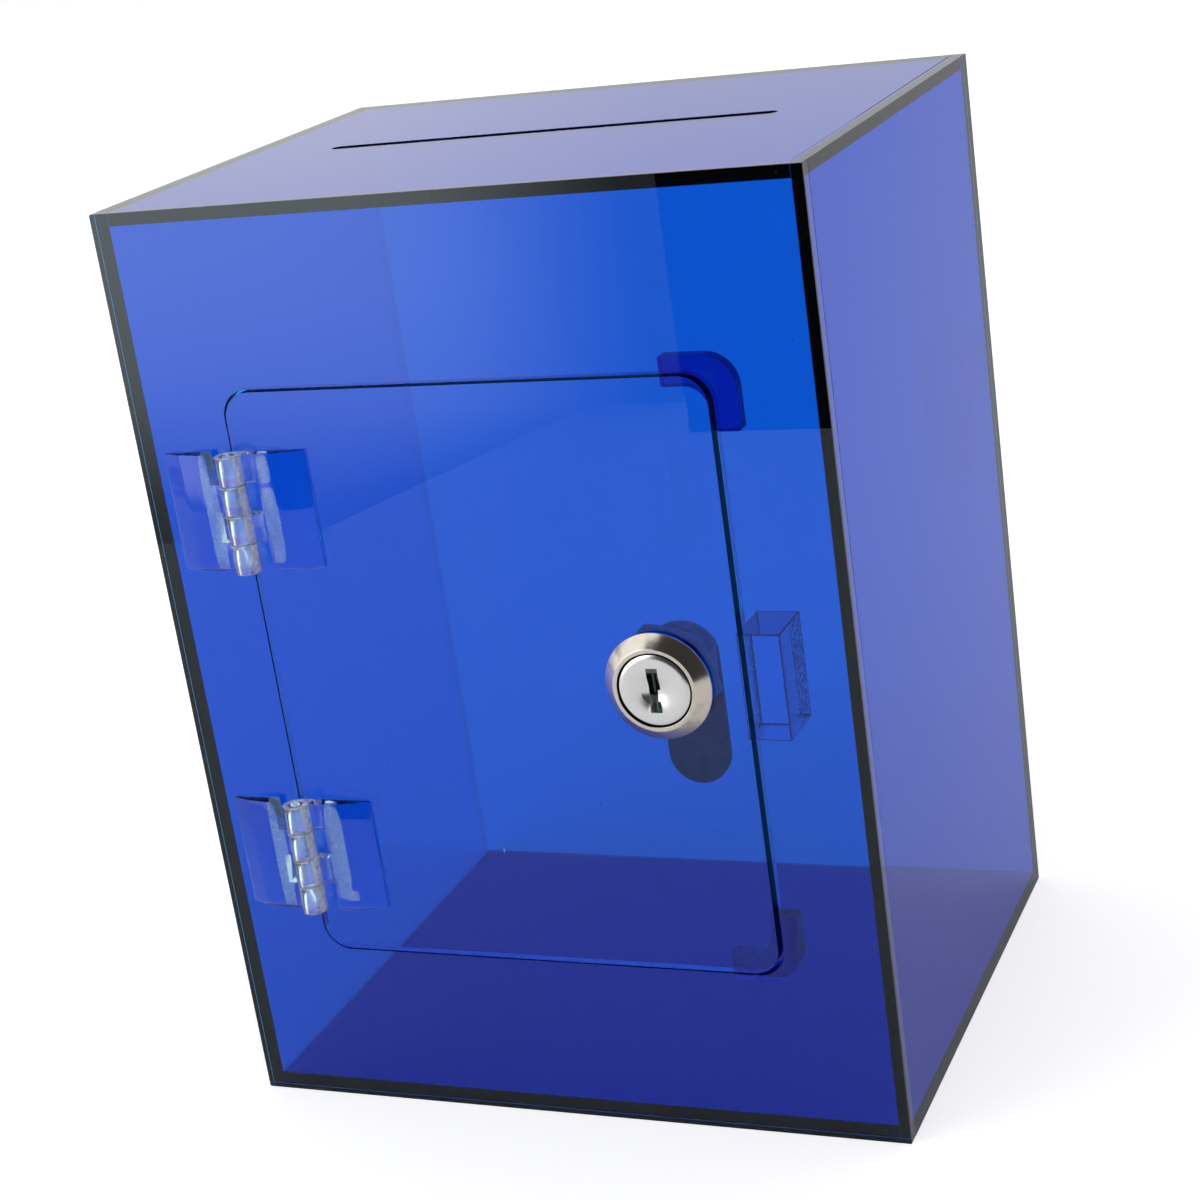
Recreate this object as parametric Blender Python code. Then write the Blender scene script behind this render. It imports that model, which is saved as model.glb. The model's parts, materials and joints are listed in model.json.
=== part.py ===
"""Lockable acrylic money box: six glued panels, a hinged door and a quarter-turn cam lock.

Metres, +Z up. The origin is the centre of the underside, and the front faces -Y.
The door is closed and the lock is open, with its cam hanging down.
"""
import math

import bmesh
import bpy
from mathutils import Matrix, Vector

# Box and sheet
BOX_WIDTH = 0.150
BOX_DEPTH = 0.120
BOX_HEIGHT = 0.200
SHEET = 0.003
GLUE_GAP = 0.0003
EDGE_BREAK = 0.00025

# Door opening in the front panel, and the door in it
OPENING_WIDTH = 0.1055
OPENING_HEIGHT = 0.126
OPENING_DROP = 0.0003
OPENING_RADIUS = 0.006
DOOR_LEFT_SEAM = 0.0003
DOOR_RIGHT_SEAM = 0.001
DOOR_TOP_SEAM = 0.0006
DOOR_BOTTOM_SEAM = 0.0003

# Coin slot
SLOT_LENGTH = 0.102
SLOT_WIDTH = 0.0035

# Hinges
HINGE_HEIGHT = 0.025
HINGE_SPACING = 0.0775
HINGE_DROP = 0.00125
HINGE_SET = 0.0006
LEAF_REACH = 0.0165
LEAF_INSET = 0.0055
LEAF_RIDGE = 0.0025
LEAF_THICKNESS = 0.0023
LEAF_EDGE = 0.0006
KNUCKLE_DIAMETER = 0.0056
KNUCKLE_GAP = 0.0003
KNUCKLES = 4
PIN_DIAMETER = 0.003
PIN_CLEARANCE = 0.00015

# Corner stops behind the opening
STOP_WIDTH = 0.006
STOP_LEG = 0.012
STOP_END_RADIUS = 0.0005
STOP_OUTER_RADIUS = 0.0068
STOP_INNER_RADIUS = 0.0045
UPPER_STOP_OUT = 0.001
UPPER_STOP_IN = 0.0002
LOWER_STOP_OUT = -0.0002
LOWER_STOP_IN = 0.0008

# Catch block behind the front panel
CATCH_LAP = 0.00245
CATCH_WIDTH = 0.009
CATCH_HEIGHT = 0.0222
CATCH_DROP = 0.0012

# Lock body: bezel in front of the door, barrel through it
LOCK_BACKSET = 0.01775
BEZEL_DIAMETER = 0.0224
BEZEL_HEIGHT = 0.0029
BEZEL_RIM = 0.0005
BEZEL_LIP = 0.00065
BARREL_DIAMETER = 0.016
BARREL_FLATS = 0.0146
BARREL_REACH = 0.0147
HOLE_CLEARANCE = 0.0003
RUN_GAP = 0.0003
GROOVE_DEPTH = 0.0009
LUG_WALL = 0.0011

# Lock plug
PLUG_FACE_DIAMETER = 0.0148
PLUG_FACE_CLEARANCE = 0.0004
PLUG_SINK = 0.0002
PLUG_HEAD = 0.0021
PLUG_FACE_FILLET = 0.0012
SHANK_DIAMETER = 0.0112
SHANK_CLEARANCE = 0.0002
KEYWAY_WIDTH = 0.0024
KEYWAY_HEIGHT = 0.0093
KEYWAY_WARD = 0.0006
KEYWAY_END_WALL = 0.0032
DISH_DIAMETER = 0.0062
DISH_DEPTH = 0.0008
TAIL_WIDTH = 0.0064
TAIL_CLEARANCE = 0.0002

# Wafers and their springs
WAFERS = 5
WAFER_START = 0.0004
WAFER_PITCH = 0.0021
WAFER_THICKNESS = 0.0008
WAFER_SIDE_GAP = 0.00015
WAFER_WIDTH = 0.0054
WAFER_WINDOW_WIDTH = 0.0031
WAFER_WINDOW_HEIGHT = 0.0046
WAFER_STEP = 0.0004
WAFER_TRAVEL = 0.0008
EAR_REACH = 0.001
EAR_HEIGHT = 0.0008
EAR_LIFT = 0.0012
SPRING_DIAMETER = 0.0009
SPRING_WIRE = 0.00018
SPRING_SEAT_GAP = 0.0001
SPRING_TURNS = 4

# Stop washer, cam, screw washer and screw behind the lock
STOP_WASHER = 0.001
STOP_WASHER_GAP = 0.0005
STOP_TAB_LAP = 0.0008
STOP_TAB_ANGLE = math.radians(36.0)
STOP_PLAY_ANGLE = math.radians(2.0)
LOCK_TURN = math.radians(90.0)
CAM_THICKNESS = 0.002
CAM_WIDTH = 0.013
CAM_OVERHANG = 0.0027
SCREW_WASHER_DIAMETER = 0.010
SCREW_WASHER = 0.0008
SCREW_DIAMETER = 0.0038
SCREW_CLEARANCE = 0.0002
SCREW_REACH = 0.0062
SCREW_HEAD_DIAMETER = 0.007
SCREW_HEAD = 0.0022
SCREW_HEAD_FILLET = 0.0007
SCREW_CROSS_WIDTH = 0.0009
SCREW_CROSS_DEPTH = 0.0012

# Nut behind the door
NUT_FLATS = 0.020
NUT_THICKNESS = 0.0035
NUT_TURN = math.radians(-13.0)

# How far a cutter runs past what it cuts
OVERRUN = 0.001

# How near two points of a turned shape merge, as a share of the glue gap
MERGE_SHARE = 0.01

# Facets of round pieces
ROUND_STEPS = 64
SMALL_ROUND_STEPS = 32
CORNER_STEPS = 8
SPRING_STEPS = 9
SMOOTH_ANGLE = math.radians(30.0)

# How far down the keyway's lower half its ward reaches
KEYWAY_WARD_SHARE = 0.5

# Which way each wafer's window is set off, in wafer steps, as a key would cut it
WINDOW_SET_SHARES = (0.5, -1.0, 1.0, 0.0, -0.5)

# Places worked out from the sizes above
FRONT_FACE = -BOX_DEPTH / 2
FRONT_MID = BOX_HEIGHT / 2
OPENING_MID = FRONT_MID - OPENING_DROP
OPENING_EDGE = OPENING_WIDTH / 2
DOOR_WIDTH = OPENING_WIDTH - DOOR_LEFT_SEAM - DOOR_RIGHT_SEAM
DOOR_HEIGHT = OPENING_HEIGHT - DOOR_TOP_SEAM - DOOR_BOTTOM_SEAM
DOOR_SHIFT = (DOOR_LEFT_SEAM - DOOR_RIGHT_SEAM) / 2
DOOR_RISE = (DOOR_BOTTOM_SEAM - DOOR_TOP_SEAM) / 2 - OPENING_DROP
HINGE_X = HINGE_SET + DOOR_LEFT_SEAM / 2 - OPENING_EDGE
HINGE_Y = FRONT_FACE - GLUE_GAP - KNUCKLE_DIAMETER / 2
LOCK_X = OPENING_EDGE - DOOR_RIGHT_SEAM - LOCK_BACKSET
BACK_OF_SHEET = SHEET + GLUE_GAP

# Depths in the lock, measured inwards from the door's front face
SEAT_DEPTH = -GLUE_GAP
LIP_DEPTH = SEAT_DEPTH - BEZEL_HEIGHT
PLUG_FACE_DEPTH = LIP_DEPTH + PLUG_SINK
HEAD_BACK_DEPTH = PLUG_FACE_DEPTH + PLUG_HEAD
SHOULDER_DEPTH = HEAD_BACK_DEPTH + RUN_GAP
STOP_WASHER_DEPTH = BARREL_REACH + RUN_GAP
LUG_END_DEPTH = STOP_WASHER_DEPTH + STOP_WASHER
CAM_DEPTH = LUG_END_DEPTH + RUN_GAP
TAIL_END_DEPTH = CAM_DEPTH + CAM_THICKNESS - RUN_GAP
SCREW_WASHER_DEPTH = CAM_DEPTH + CAM_THICKNESS + RUN_GAP
SCREW_HEAD_DEPTH = SCREW_WASHER_DEPTH + SCREW_WASHER + RUN_GAP
SCREW_TIP_DEPTH = SCREW_HEAD_DEPTH - SCREW_REACH
KEYWAY_END_DEPTH = BARREL_REACH - KEYWAY_END_WALL
BARREL_RADIUS = BARREL_DIAMETER / 2
SHANK_RADIUS = SHANK_DIAMETER / 2
SHANK_BORE = SHANK_RADIUS + SHANK_CLEARANCE
LUG_INNER = BARREL_RADIUS - LUG_WALL
POCKET_EDGE = WAFER_WIDTH / 2 + WAFER_SIDE_GAP
POCKET_HALF_HEIGHT = EAR_LIFT + EAR_HEIGHT + WAFER_TRAVEL + WAFER_SIDE_GAP
POCKET_OUTER = WAFER_WIDTH / 2 + EAR_REACH + 2 * WAFER_SIDE_GAP

# Photo colours, linear, with roughness and metallic value
BLUE_ACRYLIC = ((0.03, 0.12, 0.62, 0.55), 0.05, 0.0)
CLEAR_ACRYLIC = ((0.72, 0.76, 0.90, 0.45), 0.08, 0.0)
NICKEL = ((0.58, 0.53, 0.47, 1.0), 0.22, 1.0)
PLUG_SILVER = ((0.80, 0.80, 0.82, 1.0), 0.30, 1.0)
DARK_STEEL = ((0.10, 0.10, 0.11, 1.0), 0.40, 1.0)
ZINC = ((0.42, 0.43, 0.45, 1.0), 0.35, 1.0)
WAFER_STEEL = ((0.30, 0.33, 0.34, 1.0), 0.35, 1.0)
SPRING_STEEL = ((0.50, 0.50, 0.52, 1.0), 0.25, 1.0)


def clear_scene():
    """Removes every object the file starts with."""
    for item in list(bpy.data.objects):
        bpy.data.objects.remove(item, do_unlink=True)


def finish_of(name, finish):
    """Makes one piece's material from its colour, roughness and metallic value."""
    colour, roughness, metallic = finish
    material = bpy.data.materials.new(name)
    material.use_nodes = True
    shader = material.node_tree.nodes["Principled BSDF"]
    shader.inputs["Base Color"].default_value = colour
    shader.inputs["Roughness"].default_value = roughness
    shader.inputs["Metallic"].default_value = metallic
    shader.inputs["Alpha"].default_value = colour[3]
    material.diffuse_color = colour
    return material


def pivot(name, place, parent=None):
    """Makes an empty that stands on a joint's axis."""
    empty = bpy.data.objects.new(name, None)
    bpy.context.collection.objects.link(empty)
    empty.parent = parent
    empty.location = place
    return empty


def mesh_from(shape, name):
    """Turns a bmesh into a mesh whose faces point outwards."""
    bmesh.ops.recalc_face_normals(shape, faces=shape.faces)
    mesh = bpy.data.meshes.new(name)
    shape.to_mesh(mesh)
    shape.free()
    return mesh


def piece(name, mesh, finish, parent=None, place=(0, 0, 0)):
    """Puts a named piece with its own finish into the scene."""
    item = bpy.data.objects.new(name, mesh)
    bpy.context.collection.objects.link(item)
    item.parent = parent
    item.location = place
    item.data.materials.append(finish_of(name, finish))
    return item


def smooth(item):
    """Shades a round piece smooth, with its real edges kept sharp."""
    item.data.shade_smooth()
    item.data.set_sharp_from_angle(angle=SMOOTH_ANGLE)


def cut(target, mesh):
    """Takes a shape away from a piece; the shape is in the piece's own frame."""
    cutter = bpy.data.objects.new(mesh.name, mesh)
    bpy.context.collection.objects.link(cutter)
    cutter.parent = target
    cutter.hide_render = True
    cutter.display_type = "WIRE"
    boolean = target.modifiers.new(mesh.name, "BOOLEAN")
    boolean.operation = "DIFFERENCE"
    boolean.solver = "EXACT"
    boolean.object = cutter


def break_edges(item):
    """Takes the sharpness off a sawn or polished edge."""
    bevel = item.modifiers.new("edge_break", "BEVEL")
    bevel.width = EDGE_BREAK
    bevel.segments = 1
    bevel.limit_method = "ANGLE"
    bevel.angle_limit = SMOOTH_ANGLE


def add_prism(shape, outline, start, end, along="y"):
    """Adds an outline drawn in x and z (or x and y) and drawn out from start to end."""
    if along == "y":
        corners = [shape.verts.new((u, start, v)) for u, v in outline]
        travel = Vector((0, end - start, 0))
    else:
        corners = [shape.verts.new((u, v, start)) for u, v in outline]
        travel = Vector((0, 0, end - start))
    face = shape.faces.new(corners)
    drawn = bmesh.ops.extrude_face_region(shape, geom=[face], use_keep_orig=True)
    moved = [part for part in drawn["geom"] if isinstance(part, bmesh.types.BMVert)]
    bmesh.ops.translate(shape, verts=moved, vec=travel)


def prism(name, outline, start, end, along="y"):
    """Makes the mesh of one drawn-out outline."""
    shape = bmesh.new()
    add_prism(shape, outline, start, end, along)
    return mesh_from(shape, name)


def turned(name, profile, steps):
    """Spins a profile of (radius, depth) points about the Y axis; a bored one closes on itself."""
    shape = bmesh.new()
    points = [shape.verts.new((radius, depth, 0)) for radius, depth in profile]
    edges = [shape.edges.new(pair) for pair in zip(points, points[1:])]
    if profile[0][0] > 0:
        edges.append(shape.edges.new((points[-1], points[0])))
    bmesh.ops.spin(
        shape,
        geom=points + edges,
        cent=(0, 0, 0),
        axis=(0, 1, 0),
        angle=math.tau,
        steps=steps,
        use_merge=True,
        use_duplicate=False,
    )
    bmesh.ops.remove_doubles(shape, verts=shape.verts, dist=GLUE_GAP * MERGE_SHARE)
    return mesh_from(shape, name)


def arc(middle, radius, start, end, steps):
    """Gives points on an arc, both ends included."""
    turns = [start + (end - start) * step / steps for step in range(steps + 1)]
    return [(middle[0] + radius * math.cos(a), middle[1] + radius * math.sin(a)) for a in turns]


def rectangle(low_u, low_v, high_u, high_v):
    """Gives a rectangle's corners in order."""
    return [(low_u, low_v), (high_u, low_v), (high_u, high_v), (low_u, high_v)]


def centred(width, height):
    """Gives a rectangle centred on the origin."""
    return rectangle(-width / 2, -height / 2, width / 2, height / 2)


def rounded(width, height, radius):
    """Gives a rectangle with round corners, centred on the origin."""
    points = []
    for quarter in range(4):
        start = quarter * math.pi / 2
        side_u = 1 if quarter in (0, 3) else -1
        side_v = 1 if quarter in (0, 1) else -1
        middle = (side_u * (width / 2 - radius), side_v * (height / 2 - radius))
        points += arc(middle, radius, start, start + math.pi / 2, CORNER_STEPS)
    return points


def stadium(length, width, steps):
    """Gives a slot's outline with half-round ends, centred, its length along u."""
    reach = (length - width) / 2
    right = arc((reach, 0), width / 2, -math.pi / 2, math.pi / 2, steps)
    left = arc((-reach, 0), width / 2, math.pi / 2, 3 * math.pi / 2, steps)
    return right + left


def circle(radius, steps):
    """Gives a circle about the origin."""
    return arc((0, 0), radius, 0, math.tau * (steps - 1) / steps, steps - 1)


def double_flat(radius, half_flats, steps):
    """Gives a circle cut flat on its left and right."""
    corner = math.acos(half_flats / radius)
    top = arc((0, 0), radius, corner, math.pi - corner, steps)
    bottom = arc((0, 0), radius, math.pi + corner, math.tau - corner, steps)
    return top + bottom


def panels():
    """Makes the six glued sheets of the box."""
    front = prism("front_panel", centred(BOX_WIDTH, BOX_HEIGHT), 0, SHEET)
    front = piece("front_panel", front, BLUE_ACRYLIC, place=(0, FRONT_FACE, BOX_HEIGHT / 2))
    opening = [(u, v - OPENING_DROP) for u, v in rounded(OPENING_WIDTH, OPENING_HEIGHT, OPENING_RADIUS)]
    cut(front, prism("door_opening", opening, -OVERRUN, SHEET + OVERRUN))
    back = prism("back_panel", centred(BOX_WIDTH, BOX_HEIGHT), -SHEET, 0)
    back = piece("back_panel", back, BLUE_ACRYLIC, place=(0, -FRONT_FACE, BOX_HEIGHT / 2))

    side_depth = BOX_DEPTH - 2 * BACK_OF_SHEET
    side_middle = (BOX_WIDTH - SHEET) / 2
    sides = []
    for name, side in (("left_panel", -1), ("right_panel", 1)):
        mesh = prism(name, centred(SHEET, side_depth), 0, BOX_HEIGHT, along="z")
        sides.append(piece(name, mesh, BLUE_ACRYLIC, place=(side * side_middle, 0, 0)))

    inner_width = BOX_WIDTH - 2 * BACK_OF_SHEET
    floor = prism("bottom_panel", centred(inner_width, side_depth), 0, SHEET, along="z")
    floor = piece("bottom_panel", floor, BLUE_ACRYLIC)
    top = prism("top_panel", centred(inner_width, side_depth), -SHEET, 0, along="z")
    top = piece("top_panel", top, BLUE_ACRYLIC, place=(0, 0, BOX_HEIGHT))
    slot = stadium(SLOT_LENGTH, SLOT_WIDTH, CORNER_STEPS)
    cut(top, prism("coin_slot", slot, -SHEET - OVERRUN, OVERRUN, along="z"))
    for sheet in [front, back, floor, top] + sides:
        break_edges(sheet)


def corner_stop(name, up, out, inwards):
    """Makes the L-shaped stop behind one right-hand corner of the opening; up is 1 or -1.

    It is glued that far out to the right of the corner, and that far in from the opening's top or bottom.
    """
    half = STOP_WIDTH / 2
    outer, inner = STOP_OUTER_RADIUS, STOP_INNER_RADIUS
    tip = STOP_END_RADIUS
    quarter = math.pi / 2
    points = arc((-STOP_LEG + tip, half - tip), tip, math.pi, quarter, CORNER_STEPS)
    points += arc((half - outer, half - outer), outer, quarter, 0, CORNER_STEPS)
    points += arc((half - tip, -STOP_LEG + tip), tip, 0, -quarter, CORNER_STEPS)
    points += arc((tip - half, -STOP_LEG + tip), tip, -quarter, -math.pi, CORNER_STEPS)
    points += arc((-half - inner, -half - inner), inner, 0, quarter, CORNER_STEPS)
    points += arc((-STOP_LEG + tip, tip - half), tip, -quarter, -math.pi, CORNER_STEPS)
    outline = [(u, up * v) for u, v in points]
    mesh = prism(name, outline, BACK_OF_SHEET, BACK_OF_SHEET + SHEET)
    place = (OPENING_EDGE + out, FRONT_FACE, OPENING_MID + up * (OPENING_HEIGHT / 2 - inwards))
    piece(name, mesh, BLUE_ACRYLIC, place=place)


def catch_block():
    """Makes the block that the cam passes behind."""
    mesh = prism("catch_block", centred(CATCH_WIDTH, CATCH_HEIGHT), BACK_OF_SHEET, CAM_DEPTH - RUN_GAP)
    middle = OPENING_EDGE - CATCH_LAP + CATCH_WIDTH / 2
    item = piece("catch_block", mesh, CLEAR_ACRYLIC, place=(middle, FRONT_FACE, FRONT_MID - CATCH_DROP))
    break_edges(item)


def leaf(name, side, parent, place):
    """Makes one hinge leaf; side is 1 for the door's, on the right, and -1 for the frame's."""
    radius = KNUCKLE_DIAMETER / 2
    ridge = LEAF_THICKNESS - radius
    web_angle = math.asin(ridge / radius)
    points = [(LEAF_REACH, -radius), (LEAF_REACH, LEAF_EDGE - radius)]
    points.append((LEAF_INSET + LEAF_RIDGE, ridge))
    points += arc((0, 0), radius, web_angle, 3 * math.pi / 2, ROUND_STEPS // 2)
    # The outline has its outer side up, and the hinge has it towards -Y.
    outline = [(side * u, -v) for u, v in points]
    mesh = prism(name, outline, -HINGE_HEIGHT / 2, HINGE_HEIGHT / 2, along="z")
    item = piece(name, mesh, CLEAR_ACRYLIC, parent, place)

    room = bmesh.new()
    band = HINGE_HEIGHT / KNUCKLES
    first = 1 if side > 0 else 0
    for number in range(first, KNUCKLES, 2):
        high = HINGE_HEIGHT / 2 - number * band + KNUCKLE_GAP / 2
        low = HINGE_HEIGHT / 2 - (number + 1) * band - KNUCKLE_GAP / 2
        if number == 0:
            high += OVERRUN
        if number == KNUCKLES - 1:
            low -= OVERRUN
        reach = sorted((side * LEAF_INSET, -side * (radius + OVERRUN)))
        face = radius + OVERRUN
        add_prism(room, rectangle(reach[0], -face, reach[1], face), low, high, along="z")
    cut(item, mesh_from(room, name + "_room"))
    bore = circle(PIN_DIAMETER / 2 + PIN_CLEARANCE, SMALL_ROUND_STEPS)
    reach = HINGE_HEIGHT / 2 + OVERRUN
    cut(item, prism(name + "_bore", bore, -reach, reach, along="z"))
    smooth(item)


def hinges(door):
    """Makes both butt hinges: a leaf on the frame, a leaf on the door and a pin."""
    for name, up in (("upper_hinge", 1), ("lower_hinge", -1)):
        height = FRONT_MID - HINGE_DROP + up * HINGE_SPACING / 2
        axis_place = (HINGE_X, HINGE_Y, height)
        leaf(name + "_frame_leaf", -1, None, axis_place)
        leaf(name + "_door_leaf", 1, door, (0, 0, height - FRONT_MID))
        pin = circle(PIN_DIAMETER / 2, SMALL_ROUND_STEPS)
        pin = prism(name + "_pin", pin, -HINGE_HEIGHT / 2, HINGE_HEIGHT / 2, along="z")
        smooth(piece(name + "_pin", pin, CLEAR_ACRYLIC, place=axis_place))


def door_panel(door):
    """Makes the door, with the flatted hole that keeps the lock from turning."""
    outline = rounded(DOOR_WIDTH, DOOR_HEIGHT, OPENING_RADIUS - DOOR_LEFT_SEAM)
    outline = [(u + DOOR_SHIFT, v + DOOR_RISE) for u, v in outline]
    mesh = prism("door_panel", outline, 0, SHEET)
    item = piece("door_panel", mesh, BLUE_ACRYLIC, door, (-HINGE_X, FRONT_FACE - HINGE_Y, 0))
    hole = double_flat(BARREL_RADIUS + HOLE_CLEARANCE, BARREL_FLATS / 2 + HOLE_CLEARANCE, CORNER_STEPS)
    hole = [(LOCK_X + u, v) for u, v in hole]
    cut(item, prism("lock_hole", hole, -OVERRUN, SHEET + OVERRUN))
    break_edges(item)


def wafer_depth(number):
    """Gives the middle of a wafer's slot along the lock."""
    return SHOULDER_DEPTH + WAFER_START + WAFER_THICKNESS / 2 + number * WAFER_PITCH


def lock_body(parent):
    """Makes the bezel and barrel, bored for the plug, with the lug that stops its turn."""
    bezel = BEZEL_DIAMETER / 2
    head_bore = PLUG_FACE_DIAMETER / 2 + PLUG_FACE_CLEARANCE
    profile = [
        (head_bore, LIP_DEPTH),
        (head_bore + BEZEL_LIP, LIP_DEPTH),
        (bezel, SEAT_DEPTH - BEZEL_RIM),
        (bezel, SEAT_DEPTH),
        (BARREL_RADIUS, SEAT_DEPTH),
        (BARREL_RADIUS, LUG_END_DEPTH),
        (LUG_INNER, LUG_END_DEPTH),
        (LUG_INNER, BARREL_REACH),
        (SHANK_BORE, BARREL_REACH),
        (SHANK_BORE, SHOULDER_DEPTH),
        (head_bore, SHOULDER_DEPTH),
    ]
    item = piece("lock_body", turned("lock_body", profile, ROUND_STEPS), NICKEL, parent)

    flats = bmesh.new()
    for side in (-1, 1):
        edges = sorted((side * BARREL_FLATS / 2, side * (BARREL_RADIUS + OVERRUN)))
        outline = rectangle(edges[0], -bezel, edges[1], bezel)
        add_prism(flats, outline, 0, LUG_END_DEPTH + OVERRUN)
    cut(item, mesh_from(flats, "barrel_flats"))

    half_tab = STOP_TAB_ANGLE / 2 + STOP_PLAY_ANGLE
    start = -math.pi / 2 - half_tab
    sector = [(0, 0)] + arc((0, 0), bezel, start, start + LOCK_TURN + 2 * half_tab, CORNER_STEPS)
    cut(item, prism("lug_sector", sector, BARREL_REACH - RUN_GAP, LUG_END_DEPTH + OVERRUN))

    half = POCKET_EDGE
    tip = SHANK_BORE + GROOVE_DEPTH
    cross = []
    for turn in range(4):
        across = (math.cos(turn * math.pi / 2), math.sin(turn * math.pi / 2))
        for u, v in ((tip, -half), (tip, half), (half, half)):
            cross.append((u * across[0] - v * across[1], u * across[1] + v * across[0]))
    cut(item, prism("wafer_grooves", cross, SHOULDER_DEPTH - RUN_GAP, LUG_END_DEPTH + OVERRUN))
    smooth(item)


def lock_plug(parent):
    """Makes the keyed plug: face, shank, square tail, keyway, wafer slots and screw bore."""
    face = PLUG_FACE_DIAMETER / 2
    fillet = PLUG_FACE_FILLET
    tail = TAIL_WIDTH / 2
    profile = [(0, PLUG_FACE_DEPTH)]
    profile += arc((face - fillet, PLUG_FACE_DEPTH + fillet), fillet, -math.pi / 2, 0, CORNER_STEPS)
    profile += [
        (face, HEAD_BACK_DEPTH),
        (SHANK_RADIUS, HEAD_BACK_DEPTH),
        (SHANK_RADIUS, BARREL_REACH),
        (math.hypot(tail, tail), BARREL_REACH),
        (math.hypot(tail, tail), TAIL_END_DEPTH),
        (0, TAIL_END_DEPTH),
    ]
    item = piece("lock_plug", turned("lock_plug", profile, ROUND_STEPS), PLUG_SILVER, parent)

    beyond = SHANK_RADIUS
    for name, sideways in (("tail_sides", True), ("tail_ends", False)):
        flats = bmesh.new()
        for side in (-1, 1):
            near, far = sorted((side * tail, side * beyond))
            outline = rectangle(near, -beyond, far, beyond)
            if not sideways:
                outline = [(v, u) for u, v in outline]
            add_prism(flats, outline, BARREL_REACH + RUN_GAP / 2, TAIL_END_DEPTH + OVERRUN)
        cut(item, mesh_from(flats, name))

    half = KEYWAY_WIDTH / 2
    high = KEYWAY_HEIGHT / 2
    ward = high * KEYWAY_WARD_SHARE
    keyway = [
        (-half, -high),
        (half, -high),
        (half, -ward),
        (half - KEYWAY_WARD, -ward),
        (half - KEYWAY_WARD, 0),
        (half, 0),
        (half, high),
        (-half, high),
    ]
    cut(item, prism("keyway", keyway, PLUG_FACE_DEPTH - OVERRUN, KEYWAY_END_DEPTH))

    slots = bmesh.new()
    slot_half = WAFER_THICKNESS / 2 + WAFER_SIDE_GAP
    ends = SHANK_RADIUS + OVERRUN
    outline = [
        (-POCKET_EDGE, -ends),
        (POCKET_EDGE, -ends),
        (POCKET_EDGE, -POCKET_HALF_HEIGHT),
        (POCKET_OUTER, -POCKET_HALF_HEIGHT),
        (POCKET_OUTER, POCKET_HALF_HEIGHT),
        (POCKET_EDGE, POCKET_HALF_HEIGHT),
        (POCKET_EDGE, ends),
        (-POCKET_EDGE, ends),
    ]
    for number in range(WAFERS):
        middle = wafer_depth(number)
        add_prism(slots, outline, middle - slot_half, middle + slot_half)
    cut(item, mesh_from(slots, "wafer_slots"))

    bore = circle(SCREW_DIAMETER / 2 + SCREW_CLEARANCE, SMALL_ROUND_STEPS)
    cut(item, prism("screw_bore", bore, SCREW_TIP_DEPTH - RUN_GAP, TAIL_END_DEPTH + OVERRUN))

    # A shallow cap of a ball, whose radius follows from the dish's width and depth.
    ball = (DISH_DIAMETER ** 2 / 4 + DISH_DEPTH ** 2) / (2 * DISH_DEPTH)
    dish = bmesh.new()
    shift = Matrix.Translation((0, PLUG_FACE_DEPTH + DISH_DEPTH - ball, 0))
    turn = Matrix.Rotation(math.pi / 2, 4, "X")
    bmesh.ops.create_uvsphere(
        dish, u_segments=SMALL_ROUND_STEPS, v_segments=SMALL_ROUND_STEPS, radius=ball, matrix=shift @ turn
    )
    cut(item, mesh_from(dish, "face_dish"))
    smooth(item)


def wafers(parent):
    """Makes the wafers, drawn in flush as the key holds them."""
    round_end = SHANK_RADIUS - SHANK_CLEARANCE
    half = WAFER_WIDTH / 2
    corner = math.acos(half / round_end)
    for number in range(WAFERS):
        name = "wafer_" + str(number + 1)
        points = arc((0, 0), round_end, corner, math.pi - corner, CORNER_STEPS)
        points += arc((0, 0), round_end, math.pi + corner, math.tau - corner, CORNER_STEPS)
        points += [
            (half, EAR_LIFT),
            (half + EAR_REACH, EAR_LIFT),
            (half + EAR_REACH, EAR_LIFT + EAR_HEIGHT),
            (half, EAR_LIFT + EAR_HEIGHT),
        ]
        middle = wafer_depth(number)
        thick = WAFER_THICKNESS / 2
        item = piece(name, prism(name, points, middle - thick, middle + thick), WAFER_STEEL, parent)
        lift = WINDOW_SET_SHARES[number % len(WINDOW_SET_SHARES)] * WAFER_STEP
        window = [(u, v + lift) for u, v in centred(WAFER_WINDOW_WIDTH, WAFER_WINDOW_HEIGHT)]
        past = thick + WAFER_SIDE_GAP
        cut(item, prism(name + "_window", window, middle - past, middle + past))


def helix(radius, low, high, turns):
    """Gives a coil's points about a vertical axis, one turn flat at neither end."""
    count = turns * SPRING_STEPS
    points = []
    for step in range(count + 1):
        angle = math.tau * step / SPRING_STEPS
        height = low + (high - low) * step / count
        points.append((radius * math.cos(angle), radius * math.sin(angle), height))
    return points


def least_gap(points, wire):
    """Measures how near a coil comes to itself, from surface to surface."""
    gaps = []
    for first, here in enumerate(points):
        for there in points[first + SPRING_STEPS // 2 + 1:]:
            gaps.append((Vector(here) - Vector(there)).length - wire)
    return min(gaps)


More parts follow.
